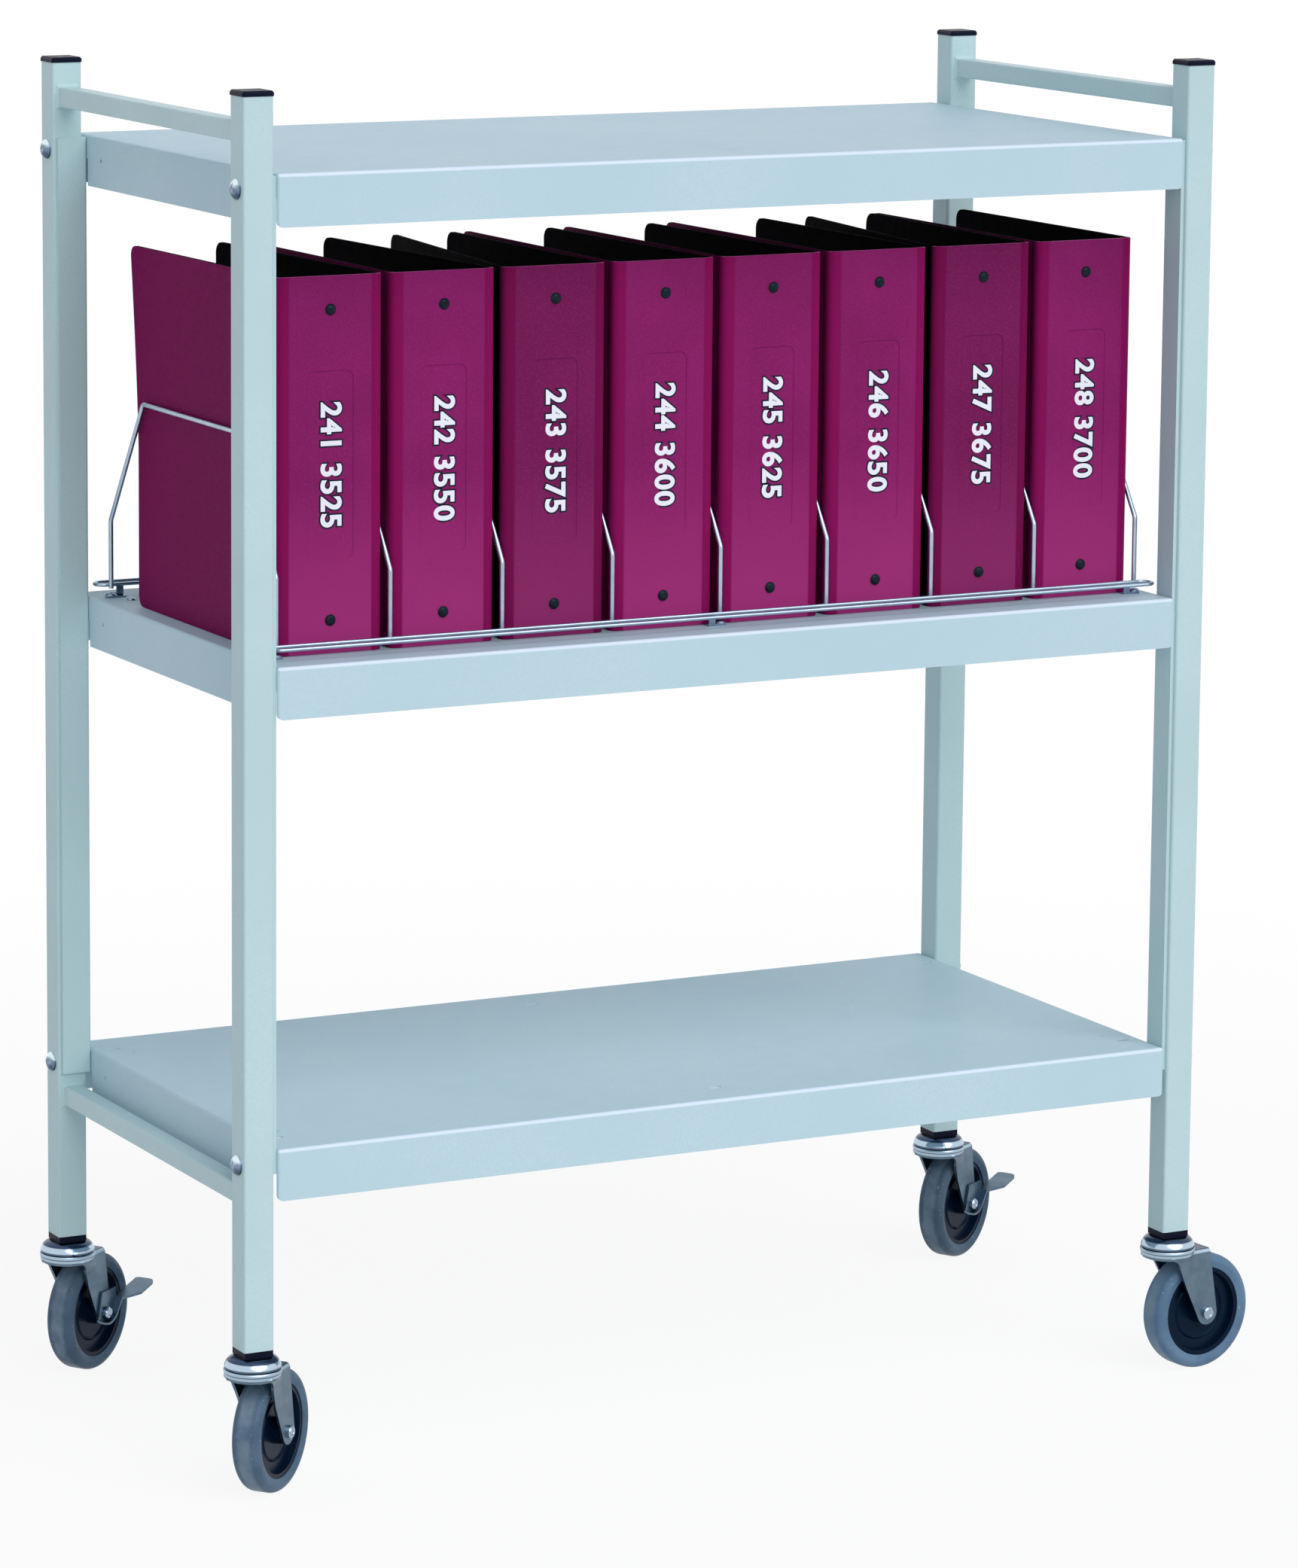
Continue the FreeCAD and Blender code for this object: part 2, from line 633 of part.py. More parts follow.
def fork():
    """Pressed fork: race ring and skirt on a flared crown, with two legs down to the axle."""
    crown_top = CROWN_UNDERSIDE + FORK_CROWN_DROP
    low = WHEEL_RADIUS - FORK_EYE_RADIUS - 2 * CUT_PAST
    waist = CROWN_UNDERSIDE - FORK_STRAIGHT_BELOW
    skin = Part.makeLoft([
        fork_section(low, 0),
        fork_section(waist, 0),
        fork_section(crown_top - FORK_BEND, 0),
        fork_section(crown_top - FORK_BEND_STEP, FORK_BEND_STEP),
        fork_section(crown_top, FORK_BEND),
    ], True, True)
    room = Part.makeLoft([
        fork_section(low - CUT_PAST, FORK_SHEET),
        fork_section(waist, FORK_SHEET),
        fork_section(crown_top - FORK_CROWN_SHEET, FORK_SHEET),
    ], True, True)
    legs = skin.cut(room).common(fork_outline().extrude(V(0, 2 * RACE_DIAMETER, 0)))
    radius = RACE_DIAMETER / 2
    pull = RACE_ROUND * (1 - math.sqrt(0.5))
    skirt = radius - SKIRT_DRAFT
    ring = turned([
        (0, RACE_TOP, None),
        (radius - RACE_ROUND, RACE_TOP, None),
        (radius, RACE_TOP - RACE_ROUND, (radius - pull, RACE_TOP - pull)),
        (radius - RACE_TAPER, CROWN_UNDERSIDE + RACE_ROUND, None),
        (skirt, CROWN_UNDERSIDE - SKIRT_DROP, None),
        (skirt - FORK_SHEET, CROWN_UNDERSIDE - SKIRT_DROP, None),
        (skirt - FORK_SHEET, CROWN_UNDERSIDE, None),
        (0, CROWN_UNDERSIDE, None),
    ])
    shape = legs.fuse(ring)
    pin = Part.makeCylinder(KINGPIN_DIAMETER / 2 + SHAFT_CLEARANCE, CASTER_TOP)
    axle = drill(AXLE_DIAMETER / 2 + SHAFT_CLEARANCE, V(CASTER_TRAIL, -RACE_DIAMETER, WHEEL_RADIUS),
                 V(CASTER_TRAIL, RACE_DIAMETER, WHEEL_RADIUS))
    return shape.cut(pin).cut(axle).removeSplitter()


def on_axle(shape):
    """Lay a piece turned about Z onto the wheel's axle, which runs along Y."""
    shape.rotate(ORIGIN, V(1, 0, 0), 90)
    shape.translate(V(CASTER_TRAIL, 0, WHEEL_RADIUS))
    return shape


def both_sides(side):
    """Close a wheel profile given from its bore outwards on one side: mirror it on the other."""
    far = [(radius, -height, None if bulge is None else (bulge[0], -bulge[1]))
           for radius, height, bulge in reversed(side)]
    bulges = [None] + [bulge for radius, height, bulge in far[:-1]]
    mirrored = [(radius, height, bulge) for (radius, height, _), bulge in zip(far, bulges)]
    return side + mirrored


def tyre():
    """Rubber tyre with a flat tread between rounded shoulders."""
    half = TYRE_WIDTH / 2
    bore = HUB_DIAMETER / 2 + BOND_GAP
    tread = half - TYRE_SHOULDER
    shoulder = WHEEL_RADIUS - TYRE_SHOULDER
    corner = TYRE_SHOULDER * math.sqrt(0.5)
    bulge = (shoulder + corner, tread + corner)
    profile = [
        (bore, half - 2 * TYRE_SIDE_RELIEF, None),
        (shoulder, half, None),
        (WHEEL_RADIUS, tread, bulge),
    ]
    return on_axle(turned(both_sides(profile)))


def hub():
    """Moulded wheel centre: boss, web with one ring of stiffening, and rim."""
    web = HUB_WEB / 2
    rim = HUB_RIM_WIDTH / 2
    ridge = HUB_RIDGE_DIAMETER / 2
    ridge_half = HUB_RIDGE_WIDTH / 2
    rim_inner = HUB_DIAMETER / 2 - HUB_RIM
    profile = [
        (AXLE_DIAMETER / 2 + SHAFT_CLEARANCE, HUB_BOSS_HALF, None),
        (HUB_BOSS_DIAMETER / 2 - HUB_DRAFT, HUB_BOSS_HALF, None),
        (HUB_BOSS_DIAMETER / 2, web, None),
        (ridge - ridge_half, web, None),
        (ridge, web + HUB_RIDGE_HEIGHT, None),
        (ridge + ridge_half, web, None),
        (rim_inner - HUB_RIM_FILLET, web, None),
        (rim_inner, rim, None),
        (HUB_DIAMETER / 2, rim, None),
    ]
    return on_axle(turned(both_sides(profile)))


def axle(braked):
    """Axle bolt with a dimpled button head, and its nut, clamped on the fork's legs or the brake."""
    near = -FORK_OUTER
    if braked:
        near -= BRAKE_SHEET + 2 * RUNNING_GAP
    middle = V(CASTER_TRAIL, 0, WHEEL_RADIUS)
    far = FORK_OUTER
    shank = drill(AXLE_DIAMETER / 2, middle + V(0, near, 0), middle + V(0, far + AXLE_NUT_HEIGHT, 0))
    rim = AXLE_HEAD_DIAMETER / 2
    head = turned([
        (0, 0, None),
        (rim, 0, None),
        (rim, AXLE_HEAD_HEIGHT - AXLE_HEAD_BEVEL, None),
        (rim - AXLE_HEAD_BEVEL, AXLE_HEAD_HEIGHT, None),
        (AXLE_DIMPLE_DIAMETER / 2, AXLE_HEAD_HEIGHT, None),
        (AXLE_DIMPLE_DIAMETER / 2 - AXLE_DIMPLE_DEPTH, AXLE_HEAD_HEIGHT - AXLE_DIMPLE_DEPTH, None),
        (0, AXLE_HEAD_HEIGHT - AXLE_DIMPLE_DEPTH, None),
    ])
    head.Placement = FreeCAD.Placement(middle + V(0, near, 0), FreeCAD.Rotation(UP, V(0, -1, 0)))
    nut = hex_prism(AXLE_NUT_FLATS, AXLE_NUT_HEIGHT, middle + V(0, far, 0), V(0, 1, 0))
    nut = nut.cut(drill(AXLE_DIAMETER / 2 + SHAFT_CLEARANCE, middle, middle + V(0, 2 * far, 0)))
    return [head.fuse(shank), nut]


def brake_pedal():
    """Brake lever: plate on the axle outside the near leg, its turned-out lip widening to a pedal."""
    near = -(FORK_OUTER + RUNNING_GAP)
    edge = BRAKE_HALF_WIDTH

    def at(x, z):
        return V(CASTER_TRAIL + x, near, WHEEL_RADIUS + z)

    bend = BRAKE_PLATE_RISE / 2
    under = (at(0, -BRAKE_DROP), at(edge, 0))
    plate = face_of(at(-BRAKE_TOE_OUT, -BRAKE_TOE_DROP), [
        under,
        at(BRAKE_PLATE_BACK, bend),
        at(BRAKE_PLATE_BACK, BRAKE_PLATE_RISE),
        at(-edge / 2, BRAKE_PLATE_RISE),
        at(-edge, 0),
    ]).extrude(V(0, -BRAKE_SHEET, 0))
    lip = face_of(at(-BRAKE_TOE_OUT, -BRAKE_TOE_DROP), [
        under,
        at(BRAKE_PLATE_BACK + LIP_SLANT_X, bend - LIP_SLANT_Z),
        at(PEDAL_REACH, bend + PEDAL_RISE - BRAKE_SHEET),
        at(PEDAL_REACH, bend + PEDAL_RISE),
        at(BRAKE_PLATE_BACK, bend + LIP_SLANT_Z),
        at(edge - BRAKE_SHEET, 0),
        (at(0, BRAKE_SHEET - BRAKE_DROP), at(-BRAKE_TOE_OUT, BRAKE_SHEET - BRAKE_TOE_DROP)),
    ]).extrude(V(0, -PEDAL_WIDTH - BRAKE_SHEET, 0))
    inner = near + BRAKE_SHEET
    lip_edge = near - BRAKE_SHEET - BRAKE_LIP
    pedal_edge = near - BRAKE_SHEET - PEDAL_WIDTH
    toe_x = CASTER_TRAIL - BRAKE_TOE_OUT
    start_x = CASTER_TRAIL + BRAKE_PLATE_BACK
    end_x = CASTER_TRAIL + PEDAL_REACH
    pull = PEDAL_ROUND * (1 - math.sqrt(0.5))
    low = WHEEL_RADIUS - 2 * edge
    plan = face_of(V(toe_x, inner, low), [
        V(end_x - PEDAL_ROUND, inner, low),
        (V(end_x - pull, inner - pull, low), V(end_x, inner - PEDAL_ROUND, low)),
        V(end_x, pedal_edge + PEDAL_ROUND, low),
        (V(end_x - pull, pedal_edge + pull, low), V(end_x - PEDAL_ROUND, pedal_edge, low)),
        V(start_x + PEDAL_FLARE, pedal_edge, low),
        V(start_x, lip_edge, low),
        V(CASTER_TRAIL - edge / 2, lip_edge, low),
        V(toe_x, near - BRAKE_SHEET, low),
    ]).extrude(V(0, 0, 5 * edge))
    shape = plate.fuse(lip.common(plan))
    hole = drill(AXLE_DIAMETER / 2 + SHAFT_CLEARANCE, at(0, 0) + V(0, BRAKE_SHEET, 0),
                 at(0, 0) - V(0, 2 * BRAKE_SHEET, 0))
    return shape.cut(hole).removeSplitter()


# ---------------------------------------------------------------- wire rack

def bent_wire(points, radius, bend):
    """Round wire through points, with an arc of radius bend at each inner point."""
    edges = []
    here = points[0]
    for before, corner, after in zip(points, points[1:], points[2:]):
        back = (before - corner).normalize()
        ahead = (after - corner).normalize()
        half_turn = (math.pi - back.getAngle(ahead)) / 2
        set_back = bend * math.tan(half_turn)
        start = corner + back * set_back
        end = corner + ahead * set_back
        to_centre = (back + ahead).normalize()
        middle = corner + to_centre * (bend / math.cos(half_turn) - bend)
        edges.append(Part.LineSegment(here, start).toShape())
        edges.append(Part.Arc(start, middle, end).toShape())
        here = end
    edges.append(Part.LineSegment(here, points[-1]).toShape())
    section = Part.Wire(Part.makeCircle(radius, points[0], points[1] - points[0]))
    return Part.Wire(edges).makePipeShell([section], True, True)


def rack_rail(sy):
    """Long hairpin loop of wire that ties the dividers' feet together."""
    near = sy * RAIL_INNER_Y
    far = sy * (RAIL_INNER_Y + RAIL_SPACING)
    end = RACK_HALF + RAIL_OVERHANG
    radius = RAIL_WIRE / 2
    rail = drill(radius, V(-end, near, RACK_WIRE_Z), V(end, near, RACK_WIRE_Z))
    rail = rail.fuse(drill(radius, V(-end, far, RACK_WIRE_Z), V(end, far, RACK_WIRE_Z)))
    middle = (near + far) / 2
    for sx in (-1, 1):
        centre = V(sx * end, middle, RACK_WIRE_Z)
        section = Part.Face(Part.Wire(Part.makeCircle(radius, V(sx * end, min(near, far), RACK_WIRE_Z),
                                                      V(1, 0, 0))))
        rail = rail.fuse(section.revolve(centre, UP, 180 * sx))
    return rail.removeSplitter()


def divider(x):
    """One wire divider: two legs that lean in to a level top wire."""
    foot = RACK_WIRE_Z - DIVIDER_FOOT
    bend = SHELF_MIDDLE_Z + DIVIDER_BEND_HEIGHT
    top = SHELF_MIDDLE_Z + DIVIDER_HEIGHT
    half_top = LEG_Y - DIVIDER_SLANT
    points = [
        V(x, -LEG_Y, foot),
        V(x, -LEG_Y, bend),
        V(x, -half_top, top),
        V(x, half_top, top),
        V(x, LEG_Y, bend),
        V(x, LEG_Y, foot),
    ]
    return bent_wire(points, DIVIDER_WIRE / 2, DIVIDER_BEND)


def rack_foot(x, y):
    """Foot strap: a pad under the screw, turned up beside it to the rail's inner wire."""
    side = math.copysign(1, y)
    wire_low = RACK_WIRE_Z - RAIL_WIRE / 2
    pad_edge = LEG_Y + FOOT_WIDTH / 2
    pad_top = SHELF_MIDDLE_Z + FOOT_SHEET
    start_x = x + side * (FOOT_LENGTH - FOOT_PAST_SCREW)
    end_x = x - side * FOOT_PAST_SCREW
    pad = block((start_x, end_x), (side * (LEG_Y - FOOT_WIDTH / 2), side * pad_edge),
                (SHELF_MIDDLE_Z, pad_top))
    riser = face_of(V(start_x, side * (pad_edge - FOOT_SHEET), SHELF_MIDDLE_Z), [
        V(start_x, side * pad_edge, SHELF_MIDDLE_Z),
        V(start_x, side * (RAIL_INNER_Y + FOOT_SHEET / 2), wire_low),
        V(start_x, side * (RAIL_INNER_Y - FOOT_SHEET / 2), wire_low),
    ]).extrude(V(-side * FOOT_RISER_WIDTH, 0, 0))
    strap = pad.fuse(riser)
    hole = Part.makeCylinder(RACK_SCREW_DIAMETER / 2 + BOLT_CLEARANCE, 2 * FOOT_SHEET,
                             V(x, y, SHELF_MIDDLE_Z - FOOT_SHEET / 2))
    return strap.cut(hole)


def rack_screws():
    """Screws and nuts of the rack's feet, and the two small screws at the deck's back corners."""
    solids = []
    under_deck = SHELF_MIDDLE_Z - SHELF_SHEET
    reach = FOOT_SHEET + SHELF_SHEET + RACK_NUT_HEIGHT + RACK_SCREW_PAST_NUT
    for x, y in SLOT_PLACES:
        seat = V(x, y, SHELF_MIDDLE_Z + FOOT_SHEET)
        solids.append(domed_screw(RACK_SCREW_HEAD, RACK_SCREW_HEAD_HEIGHT, RACK_SCREW_DIAMETER, reach,
                                  seat, UP))
        nut = hex_prism(RACK_NUT_FLATS, RACK_NUT_HEIGHT, V(x, y, under_deck), -UP)
        bore = drill(RACK_SCREW_DIAMETER / 2 + SHAFT_CLEARANCE, V(x, y, under_deck + CUT_PAST),
                     V(x, y, under_deck - RACK_NUT_HEIGHT - CUT_PAST))
        solids.append(nut.cut(bore))
    shank = PILOT_DIAMETER - 2 * SHAFT_CLEARANCE
    for sx in (-1, 1):
        seat = V(sx * PILOT_X, PILOT_Y, SHELF_MIDDLE_Z)
        solids.append(domed_screw(CORNER_SCREW_HEAD, CORNER_SCREW_HEAD_HEIGHT, shank,
                                  CORNER_SCREW_REACH, seat, UP))
    return solids


# ---------------------------------------------------------------- binders

def binder_board(side, turn):
    """One cover board, swung about its hinge line: turn in degrees, positive towards +X."""
    hinge = V(side * (BINDER_WIDTH - BINDER_BOARD) / 2, BINDER_FRONT + BINDER_SPINE_RADIUS, BINDER_BOTTOM)
    half = BINDER_BOARD / 2
    board = block((hinge.x - half, hinge.x + half), (hinge.y, BINDER_BACK),
                  (BINDER_BOTTOM, BINDER_BOTTOM + BINDER_HEIGHT))
    back = [edge for edge in board.Edges
            if abs(edge.CenterOfMass.y - BINDER_BACK) < PICK and abs(edge.CenterOfMass.x - hinge.x) < PICK]
    board = board.makeFillet(BINDER_CORNER, back)
    board = board.fuse(Part.makeCylinder(half, BINDER_HEIGHT, hinge))
    board.rotate(hinge, UP, -turn)
    return board


def binder_cover(centre_x, turns):
    """Wrap-round cover: rounded spine, two hinged boards and a sunk panel for the spine label."""
    half = BINDER_WIDTH / 2
    z_range = (BINDER_BOTTOM, BINDER_BOTTOM + BINDER_HEIGHT)
    hinge_y = BINDER_FRONT + BINDER_SPINE_RADIUS
    cover = block((-half, half), (BINDER_FRONT, hinge_y), z_range)
    spine = [edge for edge in cover.Edges
             if abs(edge.CenterOfMass.y - BINDER_FRONT) < PICK and abs(edge.CenterOfMass.x) > half - PICK]
    cover = cover.makeFillet(BINDER_SPINE_RADIUS - PICK, spine)
    room = half - BINDER_BOARD
    inside = block((-room, room), (BINDER_FRONT + BINDER_BOARD, hinge_y + CUT_PAST),
                   (z_range[0] - CUT_PAST, z_range[1] + CUT_PAST))
    inner = [edge for edge in inside.Edges
             if abs(edge.CenterOfMass.y - BINDER_FRONT - BINDER_BOARD) < PICK
             and abs(edge.CenterOfMass.x) > room - PICK]
    inside = inside.makeFillet(BINDER_SPINE_RADIUS - BINDER_BOARD, inner)
    middle = BINDER_BOTTOM + BINDER_HEIGHT / 2
    panel = block((-PANEL_WIDTH / 2, PANEL_WIDTH / 2), (BINDER_FRONT - CUT_PAST, BINDER_FRONT + PANEL_DEPTH),
                  (middle - PANEL_HEIGHT / 2, middle + PANEL_HEIGHT / 2))
    cover = cover.cut(inside).cut(panel)
    for side, turn in zip((-1, 1), turns):
        cover = cover.fuse(binder_board(side, turn))
    for z in (middle - RIVET_SPACING / 2, middle + RIVET_SPACING / 2):
        cover = cover.cut(drill(RIVET_SHANK_DIAMETER / 2 + SHAFT_CLEARANCE, V(0, BINDER_FRONT - CUT_PAST, z),
                                V(0, BINDER_FRONT + BINDER_BOARD + CUT_PAST, z)))
    cover = cover.removeSplitter()
    cover.translate(V(centre_x, 0, 0))
    return cover


def binder_ring(z):
    """One ring of wire: flat along its plate, straight sides and turned corners."""
    half = BINDER_WIDTH / 2 - BINDER_BOARD - RING_SIDE_CLEARANCE
    root = BINDER_FRONT + BINDER_BOARD + RING_PLATE_HEIGHT
    far = root + RING_REACH

    def ring_outline(inset):
        cut = RING_BEND - inset * (2 - math.sqrt(2))
        x = half - inset
        y0 = root + inset
        y1 = far - inset
        corners = [(-x, y0 + cut), (-x + cut, y0), (x - cut, y0), (x, y0 + cut),
                   (x, y1 - cut), (x - cut, y1), (-x + cut, y1), (-x, y1 - cut)]
        points = [V(a, b, z - RING_WIRE / 2) for a, b in corners]
        return Part.Face(Part.makePolygon(points + points[:1])).extrude(V(0, 0, RING_WIRE))

    return ring_outline(0).cut(ring_outline(RING_WIRE))


def binder_rings(centre_x):
    """Ring mechanism on the spine: arched plate, three rings and two rivets."""
    seat = BINDER_FRONT + BINDER_BOARD
    half = RING_PLATE_WIDTH / 2
    middle = BINDER_BOTTOM + BINDER_HEIGHT / 2
    half_length = RIVET_SPACING / 2 + RING_PLATE_PAST_RIVET
    low = middle - half_length
    plate = face_of(V(-half, seat, low), [
        V(half, seat, low),
        V(half, seat + RING_PLATE_EDGE, low),
        V(half / 2, seat + RING_PLATE_HEIGHT, low),
        V(-half / 2, seat + RING_PLATE_HEIGHT, low),
        V(-half, seat + RING_PLATE_EDGE, low),
    ]).extrude(V(0, 0, 2 * half_length))
    solids = []
    for z in (middle - RIVET_SPACING / 2, middle + RIVET_SPACING / 2):
        hole = drill(RIVET_SHANK_DIAMETER / 2 + SHAFT_CLEARANCE, V(0, seat - CUT_PAST, z),
                     V(0, seat + RING_PLATE_HEIGHT + CUT_PAST, z))
        plate = plate.cut(hole)
        solids.append(domed_screw(RIVET_HEAD_DIAMETER, RIVET_HEAD_HEIGHT, RIVET_SHANK_DIAMETER,
                                  BINDER_BOARD + RING_PLATE_HEIGHT, V(0, BINDER_FRONT, z), V(0, -1, 0)))
    solids.append(plate)
    solids += [binder_ring(middle + step * RING_PITCH) for step in (-1, 0, 1)]
    for solid in solids:
        solid.translate(V(centre_x, 0, 0))
    return solids


# ---------------------------------------------------------------- whole rack

def build():
    """Build every node and write it to its own STEP file."""
    os.makedirs("parts", exist_ok=True)
    for corner, (sx, sy) in CORNERS.items():
        save(post(sx, sy), "post_" + corner)
        save(angle_upright(sx, sy), "angle_" + corner)
    for side, sx in (("left", -1), ("right", 1)):
        save(side_bar(sx, SHELF_TOP_Z + BAR_ABOVE_SHELF), "push_bar_" + side)
        save(side_bar(sx, SHELF_BOTTOM_Z - RAIL_BELOW_SHELF), "bottom_rail_" + side)
    save(shelf(SHELF_TOP_Z, False), "shelf_top")
    save(shelf(SHELF_MIDDLE_Z, True), "shelf_middle")
    save(shelf(SHELF_BOTTOM_Z, True), "shelf_bottom")
    save([post_cap(sx, sy) for sx, sy in CORNERS.values()], "post_caps")
    save([caster_insert(sx, sy) for sx, sy in CORNERS.values()], "caster_inserts")
    save(shelf_fasteners(), "shelf_fasteners")

    save([place_caster(raceway(), corner) for corner in CORNERS], "caster_raceways")
    for corner in CORNERS:
        braked = corner in BRAKED
        save(place_caster(fork(), corner), "caster_fork_" + corner)
        save(place_caster(hub(), corner), "caster_hub_" + corner)
        save(place_caster(tyre(), corner), "caster_tyre_" + corner)
        save([place_caster(piece, corner) for piece in axle(braked)], "caster_axle_" + corner)
        if braked:
            save(place_caster(brake_pedal(), corner), "brake_pedal_" + corner)

    save(rack_rail(-1), "rack_rail_front")
    save(rack_rail(1), "rack_rail_back")
    places = [-RACK_HALF + bay * BAY_PITCH for bay in range(BAYS + 1)]
    third = len(places) // 3
    save([divider(x) for x in places[:third]], "rack_dividers_left")
    save([divider(x) for x in places[third:2 * third]], "rack_dividers_middle")
    save([divider(x) for x in places[2 * third:]], "rack_dividers_right")
    save([rack_foot(x, y) for x, y in SLOT_PLACES], "rack_feet")
    save(rack_screws(), "rack_screws")

    for bay in range(BAYS):
        turns = COVER_TURNS[bay % len(COVER_TURNS)]
        centre_x = places[bay] + BAY_PITCH / 2
        save(binder_cover(centre_x, turns), "binder_cover_%d" % (bay + 1))
        save(binder_rings(centre_x), "binder_rings_%d" % (bay + 1))


build()
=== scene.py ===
import logging
import math
from dataclasses import dataclass, field
from enum import Enum
from typing import Callable, Iterable, Optional, Sequence, Union

import bmesh
import bpy
from mathutils import Matrix, Vector


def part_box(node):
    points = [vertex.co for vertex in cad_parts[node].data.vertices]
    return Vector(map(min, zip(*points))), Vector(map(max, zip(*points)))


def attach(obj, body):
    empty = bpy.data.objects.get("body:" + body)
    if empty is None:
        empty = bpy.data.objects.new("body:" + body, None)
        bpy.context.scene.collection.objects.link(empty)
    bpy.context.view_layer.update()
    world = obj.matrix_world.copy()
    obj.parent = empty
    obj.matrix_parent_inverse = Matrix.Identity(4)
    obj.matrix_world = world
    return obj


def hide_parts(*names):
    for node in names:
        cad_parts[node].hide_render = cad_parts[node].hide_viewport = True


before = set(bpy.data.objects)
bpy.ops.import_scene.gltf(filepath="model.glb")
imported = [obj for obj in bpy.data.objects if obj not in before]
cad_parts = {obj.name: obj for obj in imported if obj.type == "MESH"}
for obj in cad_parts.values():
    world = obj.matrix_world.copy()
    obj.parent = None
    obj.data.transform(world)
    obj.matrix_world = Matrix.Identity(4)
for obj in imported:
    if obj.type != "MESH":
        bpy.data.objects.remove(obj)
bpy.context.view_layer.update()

LOG = logging.getLogger("chart_rack")
MM = 0.001
BAYS = 8

# Points nearer than this, in metres, are one. Edges sharper than this stay sharp.
WELD = 1e-6
SHARP_EDGE = math.radians(35.0)

# The display's colour curve is a straight foot, then a power.
FOOT_END = 0.04045
FOOT_SLOPE = 12.92
CURVE_LIFT = 0.055
CURVE_SCALE = 1.055
CURVE_POWER = 2.4

# Places of a mix node's colour sockets.
MIX_FIRST = 6
MIX_SECOND = 7
MIX_RESULT = 2

Triple = tuple[float, float, float]
Colour = Triple
Socket = bpy.types.NodeSocket
Material = bpy.types.Material
Piece = bpy.types.Object
Shape = bmesh.types.BMesh


class Side(Enum):
    """Side of a binder that a cover board hangs from."""

    LEFT = -1
    RIGHT = 1


class Corner(Enum):
    """Corner of the cart: its name and the signs of its X and Y."""

    LEFT_FRONT = ("left_front", -1, -1)
    RIGHT_FRONT = ("right_front", 1, -1)
    LEFT_BACK = ("left_back", -1, 1)
    RIGHT_BACK = ("right_back", 1, 1)

    @property
    def label(self) -> str:
        """Name used by the nodes and bodies at this corner."""
        return self.value[0]


class CoverFace(Enum):
    """Material slot of a binder cover's face: dyed sheet, dark lining or cut edge."""

    SHEET = 0
    LINING = 1
    CUT = 2


# ---- colours and shaders


def linear(colour: Colour) -> tuple[float, float, float, float]:
    """Turn a display colour from 0 to 1 into the renderer's linear colour.

    Args:
        colour: Red, green and blue as displayed.

    Returns:
        Linear red, green, blue and an alpha of 1.
    """
    def channel(value: float) -> float:
        """Linear value of one displayed channel."""
        curved = ((value + CURVE_LIFT) / CURVE_SCALE) ** CURVE_POWER
        return value / FOOT_SLOPE if value <= FOOT_END else curved

    return (channel(colour[0]), channel(colour[1]), channel(colour[2]), 1.0)


def tinted(colour: Colour, factors: Colour) -> Colour:
    """Colour multiplied channel by channel."""
    return tuple(channel * factor for channel, factor in zip(colour, factors))


